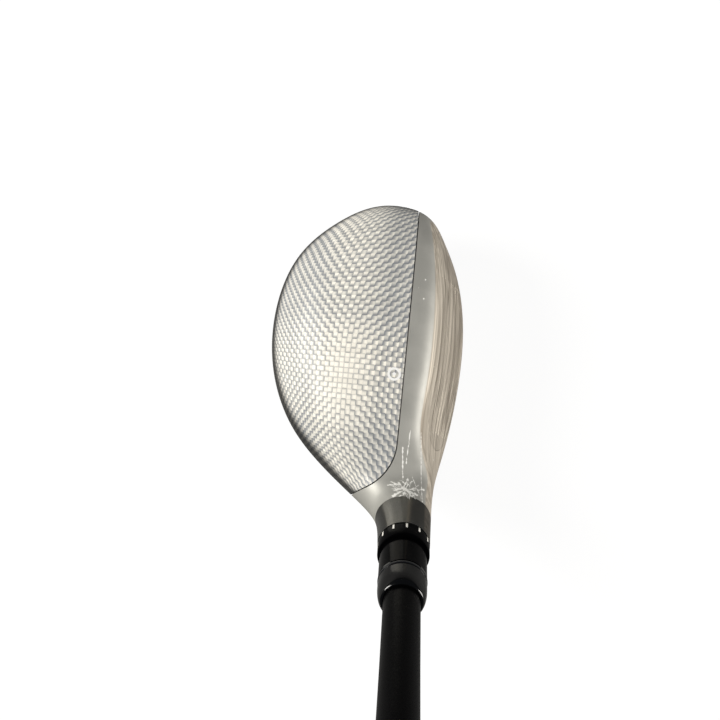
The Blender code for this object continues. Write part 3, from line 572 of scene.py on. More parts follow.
@dataclass(frozen=True)
class WornSteel(Finish):
    """Blasted cast steel, turned round the hosel, with rub marks, specks and a scuff at the hosel's root."""

    mark: Colour = (0.93, 0.92, 0.88)
    face_dark: Colour = (0.30, 0.26, 0.21)
    face_light: Colour = (0.68, 0.62, 0.53)
    turned_tone: float = 0.5
    turned_polish: float = 0.33
    turned_from: float = -0.0142
    streaks: tuple[Streak, ...] = ()
    scuff_centre: tuple[float, float] = (-0.7, -40.9)
    scuff_spread: tuple[float, float] = (5.6, 3.6)
    scuff_roots: int = 13

    def dress(self, g: Graph, shader: bpy.types.Node) -> None:
        """Adds the blasted grain, the turned hosel, the slow tone changes and the wear."""
        where = g.object_coords()
        grain = g.node("ShaderNodeGroup", node_tree=grain_group())
        g.feed(grain.inputs["Vector"], where)
        grain.inputs["Grain Scale"].default_value = 3600.0
        grain.inputs["Patch Scale"].default_value = 110.0
        dark, light = tuple(c * 0.93 for c in self.colour), tuple(c * 1.06 for c in self.colour)
        tone = g.blend(grain.outputs["Patches"], dark, light)
        height = g.vector("DOT_PRODUCT", g.vector("SUBTRACT", where, tuple(HOSEL_END)), tuple(HOSEL_UP))
        hosel = g.span(height, self.turned_from - 0.0002, self.turned_from + 0.0002)
        tone = g.blend(hosel, tone, tuple(c * self.turned_tone for c in self.colour))
        marks = self.wear(g, where)
        side, _, _ = g.split(g.node("ShaderNodeNewGeometry").outputs["Normal"])
        lines = g.blend(brushed_lines(g, where), self.face_dark, self.face_light)
        tone = g.blend(g.span(side, 0.66, 0.74), tone, lines)
        g.feed(shader.inputs["Base Color"], g.blend(marks, tone, self.mark))
        metal = g.span(hosel, 0.0, 1.0, self.metallic, 1.0)
        g.feed(shader.inputs["Metallic"], g.times(metal, g.span(marks, 0.0, 1.0, 1.0, 0.1)))
        rough = g.span(grain.outputs["Height"], 0.3, 0.7, self.roughness - 0.03, self.roughness + 0.05)
        rough = g.minus(rough, g.times(hosel, self.turned_polish))
        g.feed(shader.inputs["Roughness"], g.math("MAXIMUM", rough, g.times(marks, 0.6)))
        g.feed(shader.inputs["Normal"], g.bump(grain.outputs["Height"], 0.35, 0.00002))

    def wear(self, g: Graph, where: object) -> object:
        """The mask of every pale mark: specks, straight rubs and the scuff's roots."""
        flat = g.vector("MULTIPLY", where, (1, 1, 0))
        wobble = g.span(g.noise(where, 900.0, 2.0), 0.30, 0.70, 0.15, 1.4)
        gate = g.noise(where, 420.0, 1.0)
        warp = g.node("ShaderNodeTexNoise", {"Vector": where, "Scale": 420.0, "Detail": 3.0})
        swing = g.vector("SUBTRACT", warp.outputs["Color"], (0.5, 0.5, 0.5))
        push = g.vector("MULTIPLY", swing, (0.0022, 0.0022, 0))
        bent = g.vector("ADD", flat, push)
        marks = self.specks(g, where)
        for place, strokes in ((flat, self.streaks), (bent, self.roots())):
            for stroke in strokes:
                line = g.node("ShaderNodeGroup", node_tree=streak_group())
                g.feed(line.inputs["Place"], place)
                g.feed(line.inputs["Wobble"], wobble)
                g.feed(line.inputs["Gate"], gate)
                line.inputs["Start"].default_value = (stroke.start[0] * MM, stroke.start[1] * MM, 0)
                line.inputs["End"].default_value = (stroke.end[0] * MM, stroke.end[1] * MM, 0)
                line.inputs["Width"].default_value = stroke.width * MM
                line.inputs["Breaks"].default_value = stroke.breaks
                marks = g.math("MAXIMUM", marks, line.outputs["Mask"])
        return marks

    def specks(self, g: Graph, where: object) -> object:
        """Scattered tiny bright nicks."""
        cells = g.node("ShaderNodeTexVoronoi", feature="F1")
        g.feed(cells.inputs["Vector"], where)
        cells.inputs["Scale"].default_value = 260.0
        near = g.math("LESS_THAN", cells.outputs["Distance"], 0.075)
        rare = g.math("GREATER_THAN", g.noise(where, 90.0, 1.0), 0.54)
        return g.times(near, rare)

    def roots(self) -> list[Streak]:
        """The scuff's strokes: roots out of a dense middle, each with a side root."""
        draw = random.Random(23)
        centre_x, centre_y = self.scuff_centre
        spread_x, spread_y = self.scuff_spread
        strokes = []
        for i in range(self.scuff_roots):
            heading = math.tau * (i + draw.uniform(-0.35, 0.35)) / self.scuff_roots
            reach = draw.uniform(0.45, 1.0)
            across, along = spread_x * math.cos(heading), spread_y * math.sin(heading)
            start = (centre_x + 0.1 * across, centre_y + 0.1 * along)
            end = (centre_x + reach * across, centre_y + reach * along)
            strokes.append(Streak(start, end, draw.uniform(0.20, 0.36)))
            fork = draw.uniform(0.3, 0.7)
            joint = (start[0] + fork * (end[0] - start[0]), start[1] + fork * (end[1] - start[1]))
            side = heading + draw.choice((-1, 1)) * draw.uniform(0.6, 1.1)
            tip = (joint[0] + 0.4 * spread_x * math.cos(side), joint[1] + 0.5 * spread_y * math.sin(side))
            strokes.append(Streak(joint, tip, draw.uniform(0.15, 0.24)))
        return strokes


@dataclass(frozen=True)
class BrushedSteel(Finish):
    """Steel brushed along the frame's Y, from toe to heel."""

    dark: Colour = (0.30, 0.26, 0.21)
    light: Colour = (0.68, 0.62, 0.53)

    def dress(self, g: Graph, shader: bpy.types.Node) -> None:
        """Adds the brushed lines to colour, gloss and relief."""
        share = brushed_lines(g, g.object_coords())
        g.feed(shader.inputs["Base Color"], g.blend(share, self.dark, self.light))
        rough = g.span(share, 0.0, 1.0, self.roughness - 0.06, self.roughness + 0.1)
        g.feed(shader.inputs["Roughness"], rough)
        g.feed(shader.inputs["Normal"], g.bump(share, 0.3, 0.00001))


@dataclass(frozen=True)
class WovenClearCoat(Finish):
    """Silvered woven cloth under a clear gloss coat, with a printed alignment ring.

    Each float's colour is painted light: pale, a painted highlight, where its arched face would lean towards a
    light over a fixed centre in plan, and blue-grey, painted shade, where it would lean away, as flat
    twistless fibre looks under such a light. Painted shade also darkens the weave where floats dip and on the
    panel's steep sides.
    """

    # Colour of a float in its painted highlight, then in its painted shade.
    pale: Colour = (1.0, 0.96, 0.87)
    away: Colour = (0.20, 0.22, 0.25)
    pitch: float = 0.0015
    crimp: float = 0.00004
    lean: float = 1.7
    # Centre in plan, reach and limit of the floats' painted highlight: a fixed place, not where the lamps are.
    painted_highlight_centre: tuple[float, float] = (-0.0208, -0.0099)
    painted_highlight_reach: tuple[float, float] = (0.0125, 0.024)
    painted_highlight_most: tuple[float, float] = (0.85, 0.75)
    mark_centre: tuple[float, float] = (-0.0068, -0.0084)

    def dress(self, g: Graph, shader: bpy.types.Node) -> None:
        """Adds the weave from the panel's own UV map with painted highlight and shade, and the ring from its
        place in plan.
        """
        cloth = g.node("ShaderNodeUVMap", uv_map="cloth")
        weave = g.node("ShaderNodeGroup", node_tree=weave_group())
        for label, value in (("Cloth", cloth.outputs[0]), ("Pitch", self.pitch)):
            g.feed(weave.inputs[label], value)
        x, y, _ = g.split(g.object_coords())
        # Painted highlight: each float is pale where its lean along its tow makes up for its distance in plan
        # from the fixed centre, and blue-grey painted shade where it does not.
        misses = []
        labels = ("Weft Place", "Warp Place")
        each = zip((x, y), self.painted_highlight_centre, self.painted_highlight_reach, self.painted_highlight_most, labels)
        for place, centre, reach, most, label in each:
            macro = g.over(g.minus(place, centre), reach)
            macro = g.math("MAXIMUM", g.math("MINIMUM", macro, most), -most)
            miss = g.minus(macro, g.times(weave.outputs[label], self.lean))
            misses.append(g.times(miss, miss))
        painted_highlight = g.over(1.0, g.plus(1.0, g.math("ADD", *misses)))
        # Blend from the painted shade colour to the painted highlight colour.
        tows = g.blend(g.span(painted_highlight, 0.12, 0.92), self.away, self.pale)
        shade_of = g.span(weave.outputs["Tow"], 0.0, 1.0, 0.92, 1.05)
        fibres = g.noise(g.stretch(cloth.outputs[0], (9000.0, 9000.0, 1.0)), 1.0, 2.0)
        level = g.times(shade_of, g.span(fibres, 0.3, 0.7, 0.95, 1.04))
        # Painted shade: darker where each float dips at its ends and edges, between the tows.
        level = g.times(level, g.span(weave.outputs["Height"], 0.0, 0.4, 0.80, 1.0))
        # Painted shade: the weave darkens where the panel's smooth normal turns away from straight up, on its
        # steep sides.
        _, _, up = g.split(g.node("ShaderNodeNewGeometry").outputs["Normal"])
        level = g.times(level, g.span(up, 0.34, 0.58, 0.08, 1.0))
        weave_with_painted_light = g.blend(1.0, tows, g.join(level, level, level), "MULTIPLY")
        printed = self.alignment_ring(g)
        g.feed(shader.inputs["Base Color"], g.blend(printed, weave_with_painted_light, (0.95, 0.95, 0.94)))
        g.feed(shader.inputs["Normal"], g.bump(weave.outputs["Height"], 0.8, self.crimp))

    def alignment_ring(self, g: Graph) -> object:
        """The mask of a small ring and dot."""
        x, y, _ = g.split(g.object_coords())
        off_x = g.minus(x, self.mark_centre[0])
        off_y = g.minus(y, self.mark_centre[1])
        distance = g.math("SQRT", g.plus(g.times(off_x, off_x), g.times(off_y, off_y)))
        ring = g.math("LESS_THAN", g.math("ABSOLUTE", g.minus(distance, 0.0016)), 0.00035)
        dot = g.math("LESS_THAN", distance, 0.0005)
        return g.math("MAXIMUM", ring, dot)


STEEL = WornSteel("satin_steel", (0.43, 0.425, 0.395), roughness=0.54, metallic=0.4, streaks=(
    Streak((-2.3, -29.0), (-1.4, -38.0), 0.24),
    Streak((-0.6, -24.0), (-0.9, -33.5), 0.18, 0.46),
    Streak((2.6, -24.0), (4.4, -44.0), 0.12),
    Streak((1.2, -37.0), (4.0, -43.0), 0.10),
))
FACE_STEEL = BrushedSteel("brushed_face_steel", (0.42, 0.38, 0.33), roughness=0.45, metallic=0.5)
COMPOSITE = WovenClearCoat("woven_composite", (0.8, 0.76, 0.7), roughness=0.5, metallic=0.0, coat=0.15,
                           coat_roughness=0.25, specular=0.25)
BLACK_ALLOY = Grained("black_anodised_alloy", (0.0008, 0.0008, 0.0010), roughness=0.13, coat=0.0,
                      coat_roughness=0.2, specular=0.06, gloss_variation=0.04, grain_scale=4000.0,
                      relief=0.000006)
GLOSS_BLACK = Grained("gloss_black_plastic", (0.0015, 0.0015, 0.0018), roughness=0.16, coat=0.25,
                      coat_roughness=0.10, specular=0.4, grain_scale=1500.0, relief=0.000003,
                      gloss_variation=0.05)
SHAFT_BLACK = Grained("matte_black_lacquer", (0.0010, 0.0010, 0.0012), roughness=0.30, specular=0.08,
                      grain_scale=3500.0, relief=0.000012)
RUBBER = Grained("grip_rubber", (0.014, 0.014, 0.015), roughness=0.72, specular=0.35, grain_scale=2200.0,
                 relief=0.00006)
RAISED_RUBBER = Grained("grip_tread", (0.020, 0.020, 0.021), roughness=0.62, specular=0.35,
                        grain_scale=2200.0, relief=0.00005)
SOFT_BLACK = Grained("soft_black_insert", (0.012, 0.012, 0.012), roughness=0.6, specular=0.35,
                     grain_scale=1800.0, relief=0.00004)
PAINT = Grained("white_paint_fill", (0.86, 0.84, 0.78), roughness=0.45, grain_scale=3000.0, relief=0.00001,
                variation=0.04)
RING_METAL = Grained("smoked_turned_ring", (0.16, 0.16, 0.165), roughness=0.22, metallic=1.0,
                     grain_scale=5000.0, relief=0.000006, variation=0.05)
ZINC = Grained("dark_zinc_plate", (0.22, 0.22, 0.23), roughness=0.35, metallic=1.0, grain_scale=3000.0)
TUNGSTEN = Grained("tungsten_alloy", (0.30, 0.30, 0.31), roughness=0.34, metallic=1.0, grain_scale=3200.0)
BRASS = Grained("turned_brass", (0.62, 0.48, 0.22), roughness=0.32, metallic=1.0, grain_scale=2600.0)
TAPE = Grained("masking_tape", (0.74, 0.70, 0.60), roughness=0.85, grain_scale=900.0, relief=0.00005)


# ====================================================================== repeated pieces
class Pattern:
    """A Geometry Nodes tree, with named inputs, whose result is turned into a plain mesh."""

    def __init__(self, name: str, inputs: dict[str, tuple[str, object]]) -> None:
        """Starts a tree.

        Args:
            name: The tree's name.
            inputs: Socket type and value for each named input.
        """
        self.name = name
        self.inputs = inputs
        self.graph = Graph(bpy.data.node_groups.new(name, "GeometryNodeTree"))
        tree = self.graph.tree
        tree.interface.new_socket("Geometry", in_out="OUTPUT", socket_type="NodeSocketGeometry")
        self.sockets = {
            label: tree.interface.new_socket(label, in_out="INPUT", socket_type=kind)
            for label, (kind, _) in inputs.items()
        }
        self.given = self.graph.node("NodeGroupInput")
        self.out = self.graph.node("NodeGroupOutput")

    def value(self, label: str) -> bpy.types.NodeSocket:
        """A named input inside the tree."""
        return self.given.outputs[label]

    def end(self, instances: bpy.types.NodeSocket) -> None:
        """Realizes the instances and gives them the material input."""
        realize = self.graph.node("GeometryNodeRealizeInstances")
        painted = self.graph.node("GeometryNodeSetMaterial")
        self.graph.feed(realize.inputs["Geometry"], instances)
        self.graph.feed(painted.inputs["Geometry"], realize.outputs[0])
        self.graph.feed(painted.inputs["Material"], self.value("Material"))
        self.graph.feed(self.out.inputs[0], painted.outputs[0])

    def make(self, name: str) -> bpy.types.Object:
        """The result as a plain mesh object.

        Args:
            name: The object's name.

        Returns:
            The object, at the origin, without modifiers.
        """
        obj = new_object(name, bpy.data.meshes.new(name))
        modifier = obj.modifiers.new(self.name, "NODES")
        modifier.node_group = self.graph.tree
        for label, (_, value) in self.inputs.items():
            modifier[self.sockets[label].identifier] = value
        return settle(obj)


def row_of_blades(material: bpy.types.Material, count: int, pitch: float, first: float,
                  size: tuple[float, float, float]) -> bpy.types.Object:
    """Level blades above each other, which cut the face's scoring lines.

    Args:
        material: Given to the blades, and so to the lines' walls.
        count: Number of lines.
        pitch: Height from line to line.
        first: Height of the lowest.
        size: Each blade's size.

    Returns:
        The blades as one object.
    """
    pattern = Pattern("scoring_blades", {
        "Count": ("NodeSocketInt", count),
        "Pitch": ("NodeSocketFloat", pitch),
        "First": ("NodeSocketFloat", first),
        "Size": ("NodeSocketVector", size),
        "Material": ("NodeSocketMaterial", material),
    })
    g = pattern.graph
    line = g.node("GeometryNodeMeshLine", mode="OFFSET")
    g.feed(line.inputs["Count"], pattern.value("Count"))
    g.feed(line.inputs["Start Location"], g.join(0.0, 0.0, pattern.value("First")))
    g.feed(line.inputs["Offset"], g.join(0.0, 0.0, pattern.value("Pitch")))
    blade = g.node("GeometryNodeMeshCube")
    g.feed(blade.inputs["Size"], pattern.value("Size"))
    placed = g.node("GeometryNodeInstanceOnPoints")
    g.feed(placed.inputs["Points"], line.outputs[0])
    g.feed(placed.inputs["Instance"], blade.outputs[0])
    pattern.end(placed.outputs[0])
    return pattern.make("scoring_blades")


def ring_of_pads(name: str, material: bpy.types.Material, count: int, radius: float, height: float,
                 phase: float, size: tuple[float, float, float]) -> bpy.types.Object:
    """Small pads spaced evenly round +Z.

    Args:
        name: The object's name.
        material: Their material.
        count: Number of pads.
        radius: Distance of their centres from the axis.
        height: Height of their centres.
        phase: Angle of the first from +X.
        size: Radial, tangential and vertical size.

    Returns:
        The pads as one object, about the origin's +Z.
    """
    pattern = Pattern(name, {
        "Count": ("NodeSocketInt", count),
        "Radius": ("NodeSocketFloat", radius),
        "Height": ("NodeSocketFloat", height),
        "Phase": ("NodeSocketFloat", phase),
        "Size": ("NodeSocketVector", size),
        "Material": ("NodeSocketMaterial", material),
    })
    g = pattern.graph
    circle = g.node("GeometryNodeMeshCircle")
    g.feed(circle.inputs["Vertices"], pattern.value("Count"))
    g.feed(circle.inputs["Radius"], pattern.value("Radius"))
    turn = g.node("GeometryNodeTransform")
    g.feed(turn.inputs["Geometry"], circle.outputs[0])
    g.feed(turn.inputs["Translation"], g.join(0.0, 0.0, pattern.value("Height")))
    g.feed(turn.inputs["Rotation"], g.join(0.0, 0.0, pattern.value("Phase")))
    pad = g.node("GeometryNodeMeshCube")
    g.feed(pad.inputs["Size"], pattern.value("Size"))
    outward = g.node("FunctionNodeAlignRotationToVector", axis="X", pivot_axis="Z")
    g.feed(outward.inputs["Vector"], g.node("GeometryNodeInputPosition").outputs[0])
    placed = g.node("GeometryNodeInstanceOnPoints")
    g.feed(placed.inputs["Points"], turn.outputs[0])
    g.feed(placed.inputs["Instance"], pad.outputs[0])
    g.feed(placed.inputs["Rotation"], outward.outputs[0])
    pattern.end(placed.outputs[0])
    return pattern.make(name)


def tread(name: str, material: bpy.types.Material, columns: int, rows: int, low: float, high: float,
          radius_low: float, radius_high: float, size: tuple[float, float, float]) -> bpy.types.Object:
    """Raised pips in staggered rows round a tapered rod about +Z.

    Args:
        name: The object's name.
        material: Their material.
        columns: Number round the rod.
        rows: Number of rows.
        low: Height of the lowest row.
        high: Height of the highest row.
        radius_low: The rod's radius at the lowest row.
        radius_high: The rod's radius at the highest row.
        size: Radial, tangential and vertical size of each pip.

    Returns:
        The pips as one object, about the origin's +Z.
    """
    pattern = Pattern(name, {
        "Columns": ("NodeSocketInt", columns),
        "Rows": ("NodeSocketInt", rows),
        "Low": ("NodeSocketFloat", low),
        "High": ("NodeSocketFloat", high),
        "Radius Low": ("NodeSocketFloat", radius_low),
        "Radius High": ("NodeSocketFloat", radius_high),
        "Size": ("NodeSocketVector", size),
        "Material": ("NodeSocketMaterial", material),
    })
    g = pattern.graph
    points = g.node("GeometryNodePoints")
    total = g.times(pattern.value("Columns"), pattern.value("Rows"))
    g.feed(points.inputs["Count"], total)
    index = g.node("GeometryNodeInputIndex").outputs[0]
    row = g.math("FLOOR", g.over(g.plus(index, 0.5), pattern.value("Columns")))
    column = g.minus(index, g.times(row, pattern.value("Columns")))
    stagger = g.times(g.math("FLOORED_MODULO", row, 2.0), 0.5)
    angle = g.times(g.plus(column, stagger), g.over(math.tau, pattern.value("Columns")))
    share = g.over(row, g.minus(pattern.value("Rows"), 1.0))
    spread = g.minus(pattern.value("High"), pattern.value("Low"))
    height = g.plus(pattern.value("Low"), g.times(share, spread))
    taper = g.minus(pattern.value("Radius High"), pattern.value("Radius Low"))
    radius = g.plus(pattern.value("Radius Low"), g.times(share, taper))
    x = g.times(radius, g.math("COSINE", angle))
    y = g.times(radius, g.math("SINE", angle))
    g.feed(points.inputs["Position"], g.join(x, y, height))
    pip = g.node("GeometryNodeMeshUVSphere")
    pip.inputs["Segments"].default_value = 8
    pip.inputs["Rings"].default_value = 4
    pip.inputs["Radius"].default_value = 0.5
    outward = g.node("FunctionNodeAlignRotationToVector", axis="X", pivot_axis="Z")
    g.feed(outward.inputs["Vector"], g.join(x, y, 0.0))
    placed = g.node("GeometryNodeInstanceOnPoints")
    g.feed(placed.inputs["Points"], points.outputs[0])
    g.feed(placed.inputs["Instance"], pip.outputs[0])
    g.feed(placed.inputs["Rotation"], outward.outputs[0])
    g.feed(placed.inputs["Scale"], pattern.value("Size"))
    pattern.end(placed.outputs[0])
    return pattern.make(name)


# ====================================================================== head form
@dataclass(frozen=True)
class Inset:
    """How far a copy of the head's form is drawn in, side by side."""

    face: float = 0.0
    crown: float = 0.0
    back: float = 0.0
    sole: float = 0.0


@dataclass(frozen=True)
class Station:
    """One cross-section of the head.

    reach is 1 at the toe's tip, 0 at the keel's middle and -1 at the heel's plane; front and back are shares
    of the depth, low and high of the crown's height, loft of the face's loft, and rounding of the way to an
    ellipse.
    """

    reach: float
    front: float
    back: float
    low: float
    high: float
    loft: float
    rounding: float


@dataclass
class HeadForm:
    """The head's outer shape, a subdivided loft from the toe, over the heel and up the hosel."""

    loft: float = math.radians(20)
    face_progression: float = 16.4 * MM
    depth: float = 60.8 * MM
    crown_height: float = 35.8 * MM
    toe_reach: float = 45.2 * MM
    heel_reach: float = 36.0 * MM
    neck_fillet: float = 9.2 * MM
    hosel_radius: float = 6.953 * MM
    hosel_flare: float = 0.45 * MM
    neck_phase: float = math.radians(-73)
    neck_turns: tuple[float, ...] = (0.25, 0.57, 1.0)
    overrun: float = 12 * MM
    stations: tuple[Station, ...] = (
        Station(0.985, 0.360, 0.470, 0.400, 0.640, 1.0, 1.00),
        Station(0.930, 0.225, 0.610, 0.260, 0.800, 1.0, 0.75),
        Station(0.800, 0.118, 0.770, 0.140, 0.910, 1.0, 0.35),
        Station(0.580, 0.045, 0.915, 0.050, 0.970, 1.0, 0.10),
        Station(0.240, 0.006, 0.990, 0.000, 1.000, 1.0, 0.00),
        Station(-0.200, 0.008, 0.975, 0.000, 1.000, 1.0, 0.00),
        Station(-0.660, 0.042, 0.860, 0.022, 0.980, 0.9, 0.00),
        Station(-1.000, 0.098, 0.680, 0.115, 0.935, 0.3, 0.05),
    )
    profile: tuple[tuple[float, float], ...] = (
        (0.075, -0.010), (0.000, 0.070), (0.000, 0.340), (0.000, 0.620), (0.000, 0.860), (0.040, 0.950),
        (0.200, 0.985), (0.450, 1.005), (0.720, 0.930), (0.930, 0.730), (1.030, 0.460), (0.960, 0.220),
        (0.720, 0.050), (0.380, -0.015),
    )

    def control_radius(self, radius: float) -> float:
        """The control radius whose subdivided outline has this radius."""
        return radius * 6 / (4 + 2 * math.cos(math.tau / len(self.profile)))

    def section(self, station: Station, inset: Inset) -> list[Vector]:
        """Control points of one cross-section.

        Args:
            station: The cross-section.
            inset: How far its sides are drawn in.

        Returns:
            Points as x and height.
        """
        front = self.face_progression - station.front * self.depth - inset.face / math.cos(self.loft)
        back = self.face_progression - station.back * self.depth + inset.back
        low = station.low * self.crown_height + inset.sole
        high = station.high * self.crown_height - inset.crown
        width, height = front - back, high - low
        slope = math.tan(self.loft) * station.loft
        middle = Vector(((front + back) / 2 - low * slope / 2, (low + high) / 2))
        points = []
        for behind, above in self.profile:
            angle = math.atan2(above - 0.5, 0.5 - behind)
            rise = low + above * height
            flat = Vector((front - behind * width - rise * slope * max(0.0, 1 - behind), rise))
            oval = middle + Vector((self.control_radius(width / 2) * math.cos(angle),
                                    self.control_radius(height / 2) * math.sin(angle)))
            points.append(flat.lerp(oval, station.rounding))
        return points

    def neck_circle(self, radius: float) -> list[Vector]:
        """Control points of a round neck section."""
        count = len(self.profile)
        reach = self.control_radius(radius)
        turns = [self.neck_phase + math.tau * i / count for i in range(count)]
        return [Vector((reach * math.cos(turn), reach * math.sin(turn))) for turn in turns]

    def neck_ring(self, height: float, radius: float) -> list[Vector]:
        """A round ring across the hosel's axis, at a height from the hosel's end."""
        across = Vector((0, math.sin(HOSEL_LIE), math.cos(HOSEL_LIE)))
        centre = HOSEL.at(height)
        return [centre + Vector((point.x, 0, 0)) + point.y * across for point in self.neck_circle(radius)]

    def rings(self, inset: Inset) -> tuple[list[list[Vector]], int]:
        """Rings of control points.

        Args:
            inset: How far the form's sides are drawn in.

        Returns:
            The rings, and the number of them that the skin passes through.
        """
        rings = []
        for station in self.stations:
            y = station.reach * (self.toe_reach if station.reach > 0 else self.heel_reach)
            y -= inset.back if station.reach > 0.9 else 0.0
            rings.append([Vector((x, y, z)) for x, z in self.section(station, inset)])
        through = len(rings) - 1
        turn = Vector((0, -self.heel_reach, self.crown_height + self.neck_fillet))
        root_height = (turn - HOSEL_END).dot(HOSEL_UP)
        arm_length = (HOSEL.at(root_height) - turn).length
        circle = self.neck_circle(self.hosel_radius + self.hosel_flare - inset.back)
        root = [point + Vector((0, turn.z - arm_length)) for point in circle]
        heel = self.section(self.stations[-1], inset)
        for share in self.neck_turns:
            angle = HOSEL_LIE * share
            weight = 1 - (1 - share) ** 2
            ring = []
            for flat, bent in zip(heel, root):
                x, height = flat.lerp(bent, weight)
                arm = turn.z - height
                ring.append(Vector((x, turn.y - arm * math.sin(angle), turn.z - arm * math.cos(angle))))
            rings.append(ring)
        for height in (self.overrun / 4, self.overrun):
            rings.append(self.neck_ring(height, self.hosel_radius - inset.back))
        return rings, through

    @staticmethod
    def solved(rings: list[list[Vector]], through: int) -> np.ndarray:
        """Control rings whose subdivided skin passes through the first few of the given rings."""
        count = len(rings)
        system = np.eye(count)
        for i in range(1, through):
            system[i, i - 1: i + 2] = (1 / 6, 4 / 6, 1 / 6)
        given = np.array([[list(point) for point in ring] for ring in rings])
        return np.linalg.solve(system, given.reshape(count, -1)).reshape(given.shape)

    def build(self, name: str, inset: Inset = Inset(), levels: int = 4) -> bpy.types.Object:
        """The form as a closed smooth mesh.

        Args:
            name: The object's name.
            inset: How far its sides are drawn in.
            levels: Times it is subdivided.

        Returns:
            The object.
        """
        edit = bmesh.new()
        loops = [[edit.verts.new(point) for point in ring] for ring in self.solved(*self.rings(inset))]
        for ring, after in zip(loops, loops[1:]):
            for i in range(len(ring)):
                j = (i + 1) % len(ring)
                edit.faces.new((ring[i], ring[j], after[j], after[i]))
        edit.faces.new(reversed(loops[0]))
        edit.faces.new(loops[-1])
        bmesh.ops.recalc_face_normals(edit, faces=edit.faces)
        mesh = bpy.data.meshes.new(name)
        edit.to_mesh(mesh)
        edit.free()
        obj = new_object(name, mesh)
        skin = obj.modifiers.new("skin", "SUBSURF")
        skin.levels = skin.render_levels = levels
        settle(obj)
        obj.data.shade_smooth()
        return obj


# ====================================================================== pieces
@dataclass
class Piece:
    """A finished object, the body it rides on and the frame's nodes it stands for."""

    obj: bpy.types.Object
    body: Body
    nodes: tuple[str, ...] = ()
    slot: str | None = None

    def attach(self) -> None:
        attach(self.obj, self.body.value)
        if self.nodes:
            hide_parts(*self.nodes)
        count = sum(len(face.vertices) - 2 for face in self.obj.data.polygons)
        LOG.info("%s: %d triangles on %s", self.obj.name, count, self.body.value)


def paint(obj: bpy.types.Object, material: bpy.types.Material) -> bpy.types.Object:
    """Gives an object one material."""
    obj.data.materials.clear()
    obj.data.materials.append(material)
    return obj


def sideways() -> Matrix:
    """Turns an outline in local X and Y, run along Z, to world Y and Z, run along X."""
    return Matrix(((0, 0, 1, 0), (1, 0, 0, 0), (0, 1, 0, 0), (0, 0, 0, 1)))


